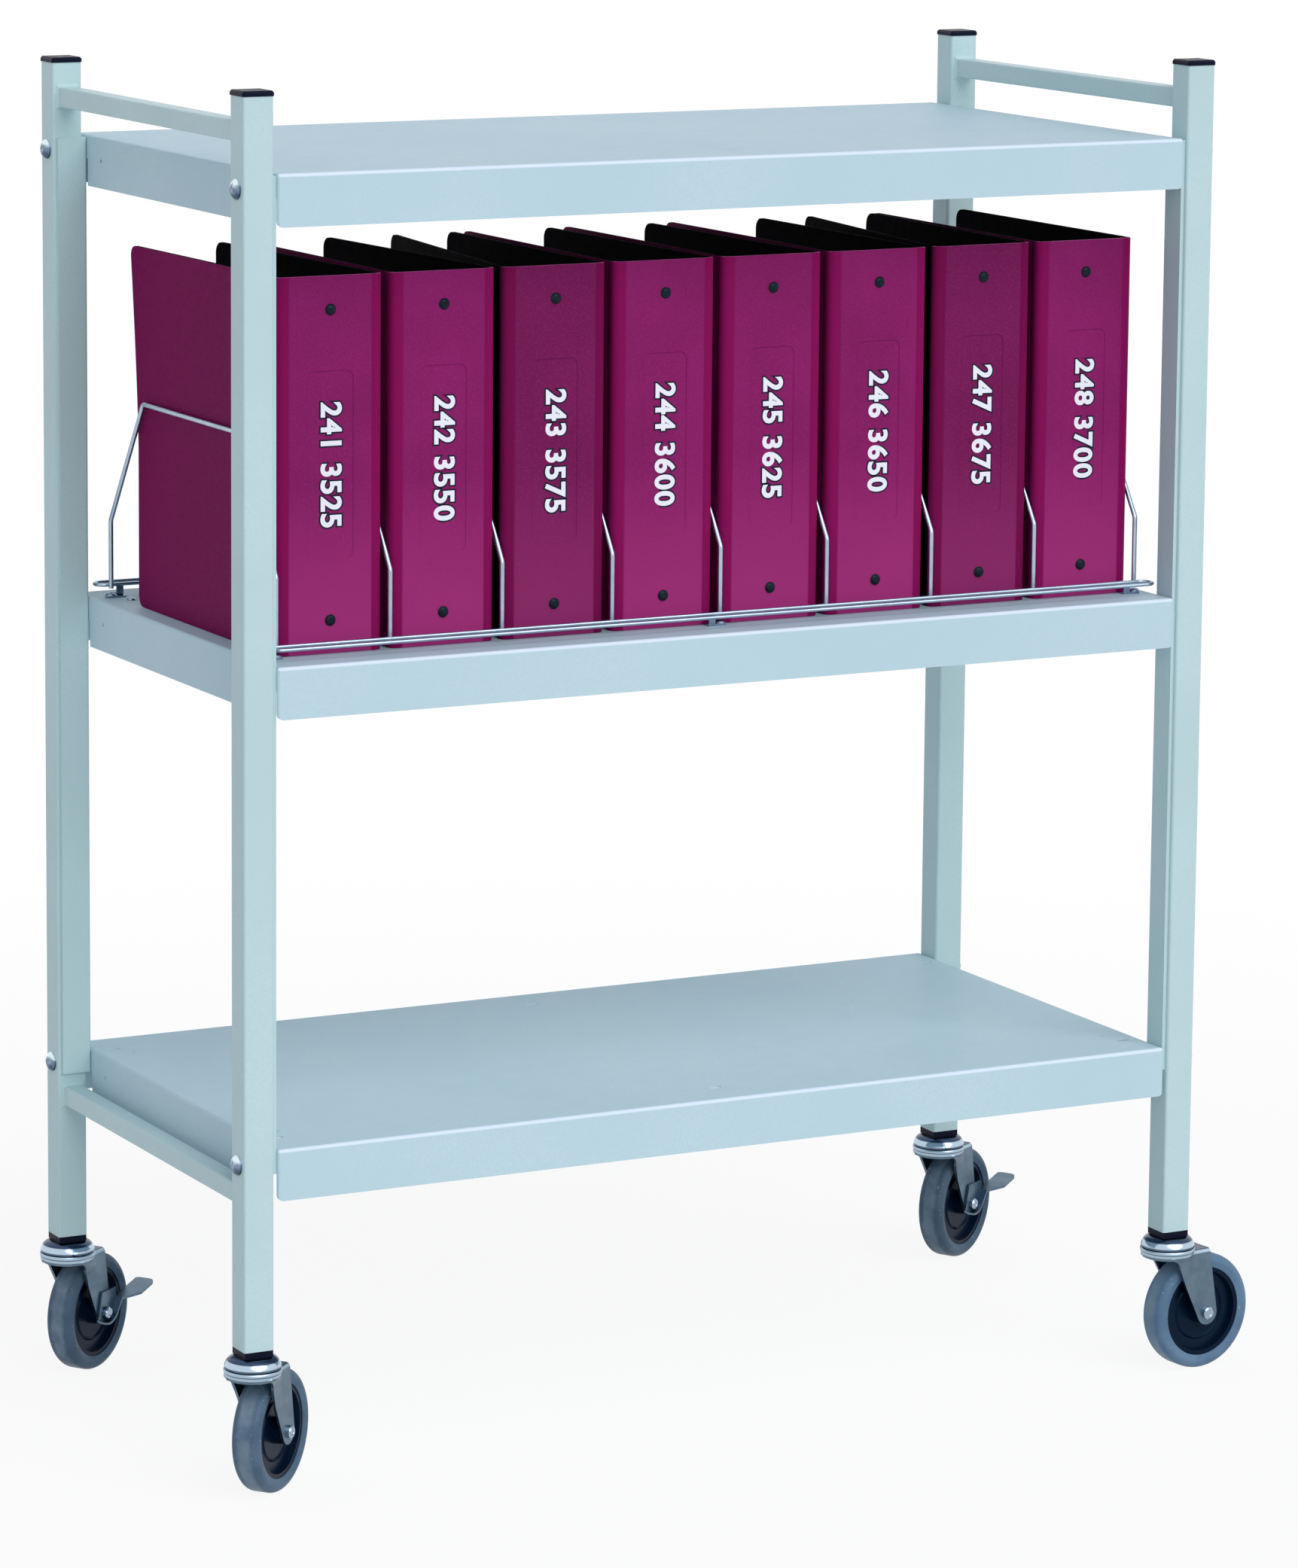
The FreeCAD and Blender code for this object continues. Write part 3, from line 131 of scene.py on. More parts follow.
@dataclass
class Shader:
    """A material under construction: its node tree and main surface shader."""

    name: str
    material: Material = field(init=False)
    nodes: bpy.types.Nodes = field(init=False)
    links: bpy.types.NodeLinks = field(init=False)
    surface: bpy.types.Node = field(init=False)
    place: Socket = field(init=False)

    def __post_init__(self) -> None:
        """Make the material with its surface shader and object coordinates."""
        self.material = bpy.data.materials.new(self.name)
        self.material.use_nodes = True
        self.nodes = self.material.node_tree.nodes
        self.links = self.material.node_tree.links
        self.surface = self.nodes["Principled BSDF"]
        self.place = self.nodes.new("ShaderNodeTexCoord").outputs["Object"]

    def set(self, **sockets: Union[float, tuple[float, ...]]) -> None:
        """Set constant sockets of the surface shader.

        Args:
            **sockets: Values by socket name, with underscores for spaces.
        """
        for name, value in sockets.items():
            self.surface.inputs[name.replace("_", " ")].default_value = value

    def stretched(self, scale: Triple) -> Socket:
        """Object coordinates scaled apart on each axis.

        Args:
            scale: Scale on X, Y and Z.

        Returns:
            The scaled vector socket.
        """
        mapping = self.nodes.new("ShaderNodeMapping")
        mapping.inputs["Scale"].default_value = scale
        self.links.new(self.place, mapping.inputs["Vector"])
        return mapping.outputs["Vector"]

    def noise(self, scale: float, detail: float, place: Optional[Socket] = None) -> Socket:
        """Noise over the piece.

        Args:
            scale: Noise cells in a metre.
            detail: Octaves.
            place: Coordinates, or None for the object's own.

        Returns:
            The noise value socket.
        """
        node = self.nodes.new("ShaderNodeTexNoise")
        node.inputs["Scale"].default_value = scale
        node.inputs["Detail"].default_value = detail
        self.links.new(place or self.place, node.inputs["Vector"])
        return node.outputs["Fac"]

    def ramp(self, value: Socket, low: float, high: float, start: float, end: float) -> Socket:
        """Map a range of a value to another range, clamped.

        Args:
            value: Socket to read.
            low: Value that gives start.
            high: Value that gives end.
            start: Result at low.
            end: Result at high.

        Returns:
            The mapped value socket.
        """
        node = self.nodes.new("ShaderNodeMapRange")
        limits = (("From Min", low), ("From Max", high), ("To Min", start), ("To Max", end))
        for name, number in limits:
            node.inputs[name].default_value = number
        self.links.new(value, node.inputs["Value"])
        return node.outputs["Result"]

    def math(self, how: str, first: Socket, second: Union[Socket, float]) -> Socket:
        """Combine two values.

        Args:
            how: Operation.
            first: First socket.
            second: Second socket, or a number.

        Returns:
            The result socket.
        """
        node = self.nodes.new("ShaderNodeMath")
        node.operation = how
        self.links.new(first, node.inputs[0])
        if isinstance(second, (int, float)):
            node.inputs[1].default_value = second
        else:
            self.links.new(second, node.inputs[1])
        return node.outputs[0]

    def away(self, value: Socket, centre: float = 0.0) -> Socket:
        """Distance of a value from a centre, without its sign."""
        offset = self.math("SUBTRACT", value, centre)
        return self.math("ABSOLUTE", offset, 0.0)

    def mix(self, factor: Socket, first: Union[Colour, Socket],
            second: Union[Colour, Socket]) -> Socket:
        """Mix two colours, each a display colour or a socket.

        Args:
            factor: Share of the second colour.
            first: First colour.
            second: Second colour.

        Returns:
            The mixed colour socket.
        """
        node = self.nodes.new("ShaderNodeMix")
        node.data_type = "RGBA"
        self.links.new(factor, node.inputs["Factor"])
        for place, colour in ((MIX_FIRST, first), (MIX_SECOND, second)):
            if isinstance(colour, tuple):
                node.inputs[place].default_value = linear(colour)
            else:
                self.links.new(colour, node.inputs[place])
        return node.outputs[MIX_RESULT]

    def drive(self, name: str, value: Socket) -> None:
        """Feed one socket of the surface shader."""
        self.links.new(value, self.surface.inputs[name])

    def bump(self, height: Socket, depth: float, strength: float) -> None:
        """Raise the surface by a height map.

        Args:
            height: Height from 0 to 1.
            depth: Height of 1 in metres.
            strength: Share of the effect.
        """
        node = self.nodes.new("ShaderNodeBump")
        node.inputs["Strength"].default_value = strength
        node.inputs["Distance"].default_value = depth
        self.links.new(height, node.inputs["Height"])
        self.drive("Normal", node.outputs["Normal"])

    def axis(self, name: str, place: Optional[Socket] = None) -> Socket:
        """One coordinate of the surface point.

        Args:
            name: X, Y or Z.
            place: Coordinates, or None for the object's own, in metres.

        Returns:
            The coordinate's socket.
        """
        split = self.nodes.new("ShaderNodeSeparateXYZ")
        self.links.new(place or self.place, split.inputs[0])
        return split.outputs[name]

    def along(self, direction: Vector, start: Vector) -> Socket:
        """Distance of the surface point from a start, measured along a direction.

        Args:
            direction: Unit direction.
            start: Point where the distance is zero.

        Returns:
            The signed distance socket, in metres.
        """
        node = self.nodes.new("ShaderNodeVectorMath")
        node.operation = "DOT_PRODUCT"
        node.inputs[1].default_value = direction
        self.links.new(self.place, node.inputs[0])
        return self.math("SUBTRACT", node.outputs["Value"], direction.dot(start))


@dataclass(frozen=True, kw_only=True)
class Mottle:
    """Noise over a piece, with the part of its range from low to high spread over start to end."""

    scale: float
    detail: float = 2.0
    low: float = 0.3
    high: float = 0.7
    start: float = 0.0
    end: float = 1.0

    def on(self, shader: Shader) -> Socket:
        """Socket of the mapped noise."""
        noise = shader.noise(self.scale, self.detail)
        return shader.ramp(noise, self.low, self.high, self.start, self.end)


def clouds(scale: float) -> Mottle:
    """Soft clouds, with so many cells in a metre."""
    return Mottle(scale=scale, detail=3.0, low=0.35, high=0.65)


@dataclass(frozen=True, kw_only=True)
class Relief:
    """Fine relief from noise."""

    scale: float
    detail: float = 2.0
    depth: float
    strength: float

    def on(self, shader: Shader) -> None:
        """Raise the surface by the relief."""
        shader.bump(shader.noise(self.scale, self.detail), self.depth, self.strength)


# ---- finishes


@dataclass(frozen=True, kw_only=True)
class Finish:
    """A named finish: a colour with its gloss, its uneven roughness and its relief."""

    name: str = field(kw_only=False)
    colour: Colour
    metal: float = 0.0
    gloss: float = 0.5
    tint: Colour = (1.0, 1.0, 1.0)
    coat: float = 0.0
    coat_rough: float = 0.16
    rough: float = 0.4
    uneven: float = 0.1
    patch: float = 60.0
    patch_detail: float = 2.0
    relief: Relief = Relief(scale=900.0, depth=0.06 * MM, strength=0.55)

    def make(self) -> Material:
        """Build the material.

        Returns:
            The new material.
        """
        shader = Shader(self.name)
        shader.set(Metallic=self.metal, Specular_IOR_Level=self.gloss,
                   Specular_Tint=(*self.tint, 1.0), Coat_Weight=self.coat,
                   Coat_Roughness=self.coat_rough)
        shader.drive("Base Color", self.tone(shader))
        self.texture(shader)
        return shader.material

    def shade(self, factors: Colour) -> Colour:
        """The finish's own colour, multiplied channel by channel."""
        return tinted(self.colour, factors)

    def tone(self, shader: Shader) -> Socket:
        """Colour of the finish over a piece."""
        raise NotImplementedError(self.name)

    def texture(self, shader: Shader) -> None:
        """Add the uneven roughness and the relief.

        Args:
            shader: Shader to add to.
        """
        uneven = Mottle(scale=self.patch, detail=self.patch_detail, start=self.rough,
                        end=self.rough + self.uneven)
        shader.drive("Roughness", uneven.on(shader))
        self.relief.on(shader)


@dataclass(frozen=True, kw_only=True)
class Enamel(Finish):
    """Baked enamel with a fine orange peel, faint clouding and a few specks."""

    gloss: float = 0.16
    coat: float = 0.08
    rough: float = 0.36
    cloud: Mottle = clouds(7.0)
    cloud_tint: Colour = (0.965, 0.97, 0.965)
    fine: Mottle = Mottle(scale=520.0, detail=3.0, low=0.36, high=0.64, end=0.8)
    fine_tint: Colour = (0.962, 0.972, 0.97)
    speck: Mottle = Mottle(scale=330.0, detail=1.0, low=0.8, high=0.83, end=0.16)
    speck_colour: Colour = (0.55, 0.6, 0.6)

    def tone(self, shader: Shader) -> Socket:
        """Clouded and specked colour of the enamel.

        Args:
            shader: Shader to add to.

        Returns:
            The colour socket.
        """
        tone = shader.mix(self.cloud.on(shader), self.colour, self.shade(self.cloud_tint))
        tone = shader.mix(self.fine.on(shader), tone, self.shade(self.fine_tint))
        return shader.mix(self.speck.on(shader), tone, self.speck_colour)


@dataclass(frozen=True, kw_only=True)
class ShelfEnamel(Enamel):
    """The same enamel on a shelf: duller, with a painted highlight along the front and back bends.
    """

    deck_z: float
    edge_y: float
    gloss: float = 0.12
    coat: float = 0.0
    rough: float = 0.42
    cloud: Mottle = clouds(5.0)
    cloud_tint: Colour = (0.965, 0.97, 0.985)
    fine_tint: Colour = (0.962, 0.972, 0.98)
    # Pale colour of the painted highlight along the bends, and where it starts and where it is
    # full.
    bend_highlight: Colour = (0.87, 0.93, 0.985)
    bend_highlight_from: float = -3.1 * MM
    bend_highlight_full: float = -1.9 * MM

    def tone(self, shader: Shader) -> Socket:
        """Colour of the enamel, with a painted highlight along the bends.

        Args:
            shader: Shader to add to.

        Returns:
            The colour socket.
        """
        # Painted highlight: a paler colour in a narrow band along the front and back bends.
        inward = shader.math("SUBTRACT", shader.away(shader.axis("Y")), self.edge_y)
        drop = shader.math("SUBTRACT", shader.axis("Z"), self.deck_z)
        outward = shader.math("ADD", inward, drop)
        bend = shader.ramp(outward, self.bend_highlight_from, self.bend_highlight_full, 0.0, 1.0)
        return shader.mix(bend, super().tone(shader), self.bend_highlight)


@dataclass(frozen=True, kw_only=True)
class Zinc(Finish):
    """Zinc plate: blue-grey metal, faintly clouded, with fine drawing lines."""

    metal: float = 1.0
    cloud: float = 0.12
    cloud_share: Colour = (1.0, 0.85, 0.6)
    mottle: Mottle = Mottle(scale=75.0, detail=3.0, low=0.35, high=0.68)
    lines: Triple = (60.0, 60.0, 60.0)
    line_detail: float = 3.0
    line_range: tuple[float, float] = (0.3, 0.7)
    line_depth: float = 0.02 * MM
    line_strength: float = 0.25

    def tone(self, shader: Shader) -> Socket:
        """Clouded colour of the plate.

        Args:
            shader: Shader to add to.

        Returns:
            The colour socket.
        """
        darker = tuple(1 - self.cloud * share for share in self.cloud_share)
        return shader.mix(self.mottle.on(shader), self.colour, self.shade(darker))

    def texture(self, shader: Shader) -> None:
        """Draw the lines in the roughness and the relief.

        Args:
            shader: Shader to add to.
        """
        drawn = shader.noise(1.0, self.line_detail, shader.stretched(self.lines))
        rough = shader.ramp(drawn, *self.line_range, self.rough, self.rough + self.uneven)
        shader.drive("Roughness", rough)
        shader.bump(drawn, self.line_depth, self.line_strength)


@dataclass(frozen=True, kw_only=True)
class BoltZinc(Zinc):
    """Domed bolt heads with a painted highlight on top and painted shade underneath."""

    # Colour of the painted shade underneath, then of the painted highlight on top, and noise that
    # breaks their edges.
    dull: Colour = (0.26, 0.34, 0.42)
    top_highlight: Colour = (0.88, 0.94, 0.97)
    highlight_jitter: Mottle = Mottle(scale=260.0, detail=3.0, start=-0.18, end=0.18)
    underside_shade_range: tuple[float, float] = (-0.42, 0.02)
    top_highlight_range: tuple[float, float] = (0.1, 0.42)

    def tone(self, shader: Shader) -> Socket:
        """Colour of the head by how far its surface faces up: painted highlight on top, painted
        shade below.

        Args:
            shader: Shader to add to.

        Returns:
            The colour socket.
        """
        facing = shader.nodes.new("ShaderNodeTexCoord").outputs["Normal"]
        # Painted highlight and painted shade set by the way the head faces, with noise on their
        # edges.
        upward = shader.math("ADD", shader.axis("Z", facing), self.highlight_jitter.on(shader))
        under = shader.ramp(upward, *self.underside_shade_range, 1.0, 0.0)
        over = shader.ramp(upward, *self.top_highlight_range, 0.0, 1.0)
        return shader.mix(over, shader.mix(under, super().tone(shader), self.dull), self.top_highlight)


@dataclass(frozen=True, kw_only=True)
class ForkZinc(Zinc):
    """Pressed swivel parts: dull zinc, with a painted highlight band round the top.

    The band runs from its foot to its top, and a dark line of painted shade crosses it. Above it
    the running gap gets painted shade.
    """

    # Colour of the painted highlight band, then of the painted shade.
    bright: Colour = (0.66, 0.75, 0.82)
    shadow: Colour = (0.06, 0.09, 0.22)
    ring_foot: float = 102.4 * MM
    shade_line: float = 105.4 * MM
    ring_top: float = 108.0 * MM
    ring_fade: float = 0.6 * MM
    gap_fade: float = 0.4 * MM
    shade_line_core: float = 0.2 * MM
    shade_line_fade: float = 0.6 * MM
    shade_line_share: float = 0.8

    def tone(self, shader: Shader) -> Socket:
        """Colour of the pressing by height above the floor.

        Args:
            shader: Shader to add to.

        Returns:
            The colour socket.
        """
        height = shader.axis("Z")
        # Painted highlight band from the ring's foot, painted shade in the gap above its top and
        # along the dark line.
        ring = shader.ramp(height, self.ring_foot, self.ring_foot + self.ring_fade, 0.0, 1.0)
        gap = shader.ramp(height, self.ring_top, self.ring_top + self.gap_fade, 0.0, 1.0)
        shade_line = shader.ramp(shader.away(height, self.shade_line), self.shade_line_core, self.shade_line_fade,
                           self.shade_line_share, 0.0)
        tone = shader.mix(ring, super().tone(shader), self.bright)
        return shader.mix(shader.math("MAXIMUM", gap, shade_line), tone, self.shadow)


@dataclass(frozen=True, kw_only=True)
class Moulding(Finish):
    """Moulded plastic with a fine spark-eroded texture and a tinted gloss."""

    gloss: float = 0.2
    tint: Colour = (0.75, 0.88, 1.0)
    patch: float = 160.0
    relief: Relief = Relief(scale=1400.0, depth=0.05 * MM, strength=0.6)
    cloud: Mottle = clouds(45.0)
    cloud_tint: Colour = (1.25, 1.25, 1.2)

    def tone(self, shader: Shader) -> Socket:
        """Clouded colour of the plastic."""
        return shader.mix(self.cloud.on(shader), self.colour, self.shade(self.cloud_tint))


@dataclass(frozen=True, kw_only=True)
class Tread(Finish):
    """Blue-grey rubber: a paler worn band round the tread's middle, scuffs and tiny nicks."""

    centre: Vector
    axle: Vector
    gloss: float = 0.22
    uneven: float = 0.18
    patch: float = 50.0
    patch_detail: float = 3.0
    relief: Relief = Relief(scale=700.0, detail=3.0, depth=0.08 * MM, strength=0.6)
    worn: Colour = (0.47, 0.55, 0.61)
    band: float = 5.2 * MM
    band_fade_in: float = 1.5 * MM
    band_fade_out: float = 2.2 * MM
    ragged: Mottle = Mottle(scale=90.0, detail=3.0, start=-1.2 * MM, end=1.2 * MM)
    scuff: Mottle = Mottle(scale=42.0, detail=5.0, low=0.36, high=0.66)
    scuff_tint: Colour = (0.84, 0.87, 0.9)
    nick: Mottle = Mottle(scale=620.0, detail=0.0, low=0.82, high=0.85, end=0.8)
    nick_colour: Colour = (0.72, 0.78, 0.86)
    nick_bands: tuple[float, float] = (2.6, 2.8)

    def tone(self, shader: Shader) -> Socket:
        """Colour of the rubber by distance from the tread's middle.

        Args:
            shader: Shader to add to.

        Returns:
            The colour socket.
        """
        across = shader.away(shader.along(self.axle, self.centre))
        edge = shader.math("ADD", across, self.ragged.on(shader))
        band = shader.ramp(edge, self.band - self.band_fade_in, self.band + self.band_fade_out,
                           1.0, 0.0)
        scuff = self.scuff.on(shader)
        tone = shader.mix(scuff, self.colour, self.shade(self.scuff_tint))
        tone = shader.mix(band, tone, shader.mix(scuff, self.worn, self.colour))
        reach = (bands * self.band for bands in self.nick_bands)
        nick = shader.math("MULTIPLY", self.nick.on(shader), shader.ramp(across, *reach, 1.0, 0.0))
        return shader.mix(nick, tone, self.nick_colour)


@dataclass(frozen=True, kw_only=True)
class CoverSheet(Finish):
    """Dyed cover sheet with a fine leather grain, and painted light that makes it paler towards
    the spine's foot.

    Beyond the scored lines it is redder, and on the boards painted shade makes it redder and
    darker still.
    """

    centre_x: float
    strip: float
    fold_y: float
    foot_z: float
    gloss: float = 0.03
    tint: Colour = (1.0, 0.4, 0.8)
    rough: float = 0.42
    uneven: float = 0.12
    patch: float = 300.0
    relief: Relief = Relief(scale=1100.0, detail=3.0, depth=0.1 * MM, strength=0.6)
    dye: Mottle = clouds(16.0)
    dye_tint: Colour = (0.95, 0.92, 0.94)
    fleck: Mottle = Mottle(scale=800.0, low=0.48, end=0.13)
    fleck_colour: Colour = (0.74, 0.3, 0.52)
    # Painted light: how high above the spine's foot the sheet is paler, how much, and in what
    # colour.
    foot_light: float = 135.0 * MM
    foot_light_share: float = 0.85
    foot_light_tint: Colour = (1.24, 1.6, 1.22)
    strip_soft: float = 0.3 * MM
    strip_tint: Colour = (0.96, 0.55, 0.84)
    fold_soft: float = 2.0 * MM
    # Painted shade on the boards' outer faces.
    board_shade_tint: Colour = (0.86, 0.25, 0.78)

    def tone(self, shader: Shader) -> Socket:
        """Colour of the sheet by where it lies on the cover.

        Args:
            shader: Shader to add to.

        Returns:
            The colour socket.
        """
        # Painted light: paler towards the spine's foot.
        foot_lit = shader.ramp(shader.axis("Z"), self.foot_z, self.foot_z + self.foot_light,
                            self.foot_light_share, 0.0)
        off = shader.away(shader.axis("X"), self.centre_x)
        side = shader.ramp(off, self.strip - self.strip_soft, self.strip + self.strip_soft,
                           0.0, 1.0)
        # Painted shade: behind the fold the boards are redder and darker than the spine.
        board = shader.ramp(shader.axis("Y"), self.fold_y, self.fold_y + self.fold_soft, 0.0, 1.0)
        tone = shader.mix(self.dye.on(shader), self.colour, self.shade(self.dye_tint))
        tone = shader.mix(self.fleck.on(shader), tone, self.fleck_colour)
        tone = shader.mix(foot_lit, tone, self.shade(self.foot_light_tint))
        tone = shader.mix(side, tone, self.shade(self.strip_tint))
        return shader.mix(board, tone, self.shade(self.board_shade_tint))


@dataclass(frozen=True, kw_only=True)
class BinderHardware(Finish):
    """Nickel ring mechanism whose rivet heads, in front of the spine, are blackened."""

    spine_y: float
    colour: Colour = (0.78, 0.78, 0.79)
    gloss: float = 0.1
    relief: Relief = Relief(scale=500.0, depth=0.04 * MM, strength=0.4)
    head_fade: float = 0.4 * MM
    mottle: Mottle = clouds(400.0)
    dull: Colour = (0.70, 0.71, 0.73)
    black: tuple[Colour, Colour] = ((0.09, 0.15, 0.19), (0.05, 0.09, 0.13))
    metals: tuple[float, float] = (1.0, 0.03)
    roughs: tuple[float, float] = (0.22, 0.28)

    def head(self, shader: Shader) -> Socket:
        """One on a rivet head, zero behind the spine's face."""
        depth = shader.axis("Y")
        return shader.ramp(depth, self.spine_y - self.head_fade, self.spine_y, 1.0, 0.0)

    def tone(self, shader: Shader) -> Socket:
        """Nickel, and black on the heads.

        Args:
            shader: Shader to add to.

        Returns:
            The colour socket.
        """
        mottle = self.mottle.on(shader)
        nickel = shader.mix(mottle, self.colour, self.dull)
        return shader.mix(self.head(shader), nickel, shader.mix(mottle, *self.black))

    def texture(self, shader: Shader) -> None:
        """Make the heads duller and less metallic, and add the relief.

        Args:
            shader: Shader to add to.
        """
        for name, ends in (("Metallic", self.metals), ("Roughness", self.roughs)):
            shader.drive(name, shader.ramp(self.head(shader), 0.0, 1.0, *ends))
        self.relief.on(shader)


@dataclass(frozen=True, kw_only=True)
class Ink(Finish):
    """Printing ink on the spine panels, slightly worn through in specks."""

    worn: Colour
    gloss: float = 0.2
    uneven: float = 0.15
    patch: float = 300.0
    relief: Relief = Relief(scale=900.0, depth=0.03 * MM, strength=0.4)
    wear: Mottle = Mottle(scale=1200.0, low=0.68, high=0.78, end=0.45)

    def tone(self, shader: Shader) -> Socket:
        """Colour of the ink with its worn specks."""
        return shader.mix(self.wear.on(shader), self.colour, self.worn)


# ---- mesh help


def place_object(name: str, data: bpy.types.Mesh,
                 materials: Iterable[Material]) -> Piece:
    """Put a mesh in the scene as a piece, with its finishes.

    Args:
        name: Piece name.
        data: Its mesh.
        materials: Its finishes, in the order of the material slots.

    Returns:
        The new piece.
    """
    piece = bpy.data.objects.new(name, data)
    bpy.context.scene.collection.objects.link(piece)
    data.materials.clear()
    for material in materials:
        data.materials.append(material)
    LOG.info("made %s", name)
    return piece


def mesh_object(name: str, build: Callable[[Shape], None],
                *materials: Material) -> Piece:
    """Make a mesh piece from a function that fills a bmesh.

    Args:
        name: Piece name.
        build: Function that adds the geometry.
        *materials: Finishes of the piece.

    Returns:
        The new piece.
    """
    shape = bmesh.new()
    build(shape)
    bmesh.ops.remove_doubles(shape, verts=shape.verts, dist=WELD)
    bmesh.ops.recalc_face_normals(shape, faces=shape.faces)
    for face in shape.faces:
        face.smooth = True
    for edge in shape.edges:
        edge.smooth = len(edge.link_faces) == 2 and edge.calc_face_angle(0.0) < SHARP_EDGE
    data = bpy.data.meshes.new(name)
    shape.to_mesh(data)
    shape.free()
    return place_object(name, data, materials)


def join_rows(shape: Shape, before: Sequence[bmesh.types.BMVert],
              after: Sequence[bmesh.types.BMVert], closed: bool) -> None:
    """Fill the band between two rows of points with quads.

    Args:
        shape: Mesh to add to.
        before: First row.
        after: Second row, of the same length.
        closed: Whether the rows close on themselves.
    """
    count = len(before)
    for i in range(count if closed else count - 1):
        j = (i + 1) % count
        shape.faces.new((before[i], before[j], after[j], after[i]))


def dress(nodes: Iterable[str], material: Material) -> None:
    """Give CAD nodes a finish.

    Args:
        nodes: Node names.
        material: Finish for all of them.
    """
    for name in nodes:
        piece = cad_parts[name]
        piece.data.materials.clear()
        piece.data.materials.append(material)
        LOG.info("dressed %s with %s", name, material.name)


# ---- sub-assemblies


@dataclass
class CartFrame:
    """Posts, angle uprights, side bars, shelves, caps and shelf bolts."""

    tube: Enamel = Enamel("frame_enamel", colour=(0.762, 0.868, 0.874))
    shelf_colour: Colour = (0.762, 0.868, 0.89)
    caps: Moulding = Moulding("black_plastic", colour=(0.045, 0.055, 0.13), rough=0.34, gloss=0.09)
    # Bolt heads with a painted highlight on top and painted shade underneath.
    zinc: Zinc = BoltZinc("zinc_fastener", colour=(0.50, 0.58, 0.66), rough=0.12)

    def build(self) -> None:
        """Dress every frame node."""
        enamel = self.tube.make()
        corners = [corner.label for corner in Corner]
        dress([part + corner for part in ("post_", "angle_") for corner in corners], enamel)
        bars = ("push_bar_", "bottom_rail_")
        dress([part + side for part in bars for side in ("left", "right")], enamel)
        for level in ("top", "middle", "bottom"):
            _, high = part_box("shelf_" + level)
            # Each shelf's enamel carries a painted highlight along its bends.
            deck = ShelfEnamel("shelf_enamel_" + level, colour=self.shelf_colour,
                               deck_z=high.z, edge_y=high.y)
            dress(["shelf_" + level], deck.make())
        dress(["post_caps", "caster_inserts"], self.caps.make())
        dress(["shelf_fasteners"], self.zinc.make())


@dataclass
class Casters:
    """Forks, raceways, wheels, axles and brake pedals. Trail angles at rest are in degrees."""

    # Both pressings carry a painted highlight band, crossed by a dark line of painted shade, with
    # painted shade above it.
    pressed: ForkZinc = ForkZinc("zinc_caster", colour=(0.41, 0.49, 0.55), rough=0.3, cloud=0.14,
                                 lines=(50.0, 50.0, 260.0))
    # On the race the band is a painted highlight round the cup's shoulder, with painted shade
    # above it and a dark painted-shade line at its foot.
    race: ForkZinc = ForkZinc("zinc_race", colour=(0.42, 0.49, 0.57), rough=0.13, cloud=0.1,
                              lines=(40.0, 40.0, 900.0), bright=(0.72, 0.80, 0.87),
                              shadow=(0.24, 0.30, 0.40), ring_foot=110.2 * MM, shade_line=110.2 * MM,
                              ring_top=114.8 * MM)
    bright: Zinc = Zinc("zinc_axle", colour=(0.66, 0.72, 0.78), rough=0.16)
    hub: Moulding = Moulding("hub_plastic", colour=(0.02, 0.075, 0.15), rough=0.24, gloss=0.12,
                             tint=(0.3, 0.65, 1.0),
                             relief=Relief(scale=700.0, depth=0.05 * MM, strength=0.6))
    trail: float = 31.5 * MM
    kingpin: tuple[float, float] = (422.3 * MM, 190.5 * MM)
    radius: float = 49.5 * MM
    angles: tuple[float, ...] = (40.0, 7.0, 36.0, 31.0)
    rubber: Colour = (0.31, 0.405, 0.485)
    # Factors on the rubber's colour, one for each corner.
    ages: tuple[float, ...] = (1.04, 1.25, 0.97, 0.95)

    def tread(self, corner: Corner, angle: float, lightness: float) -> Tread:
        """Finish of one tyre, with its worn band square to its own axle.

        Args:
            corner: Where the caster stands.
            angle: Trail angle at rest, in degrees.
            lightness: Factor on the rubber's colour at this corner, from 1.

        Returns:
            The tyre's finish.
        """
        turn = math.radians(angle)
        _, sx, sy = corner.value
        centre = Vector((sx * self.kingpin[0] + self.trail * math.cos(turn),
                         sy * self.kingpin[1] + self.trail * math.sin(turn), self.radius))
        return Tread("tyre_rubber_" + corner.label, centre=centre,
                     axle=Vector((-math.sin(turn), math.cos(turn), 0.0)),
                     colour=tinted(self.rubber, (lightness, lightness, lightness)))

    def build(self) -> None:
        """Dress every caster node."""
        corners = [corner.label for corner in Corner]
        braked = [corner for corner in corners if corner.endswith("back")]
        dress(["caster_raceways"], self.race.make())
        pressed = self.pressed.make()
        dress(["caster_fork_" + corner for corner in corners], pressed)
        dress(["brake_pedal_" + corner for corner in braked], pressed)
        dress(["caster_axle_" + corner for corner in corners], self.bright.make())
        dress(["caster_hub_" + corner for corner in corners], self.hub.make())
        for corner, angle, lightness in zip(Corner, self.angles, self.ages):
            dress(["caster_tyre_" + corner.label], self.tread(corner, angle, lightness).make())


@dataclass
class WireRack:
    """Hairpin rails, dividers, foot straps and screws."""

    wire: Zinc = Zinc("rack_wire", colour=(0.70, 0.76, 0.82), rough=0.24, cloud=0.08,
                      lines=(30.0, 30.0, 30.0))
    zinc: Zinc = Zinc("zinc_screw", colour=(0.6, 0.66, 0.74), rough=0.18)

    def build(self) -> None:
        """Dress every rack node."""
        rails = ["rack_rail_front", "rack_rail_back"]
        dividers = ["rack_dividers_" + part for part in ("left", "middle", "right")]
        dress(rails + dividers, self.wire.make())
        dress(["rack_feet", "rack_screws"], self.zinc.make())


@dataclass(frozen=True)
class BinderInks:
    """Finishes that every binder shares: lining, cut edge, digits and the edge round them."""

    lining: Material
    cut: Material
    digits: Material
    edge: Material


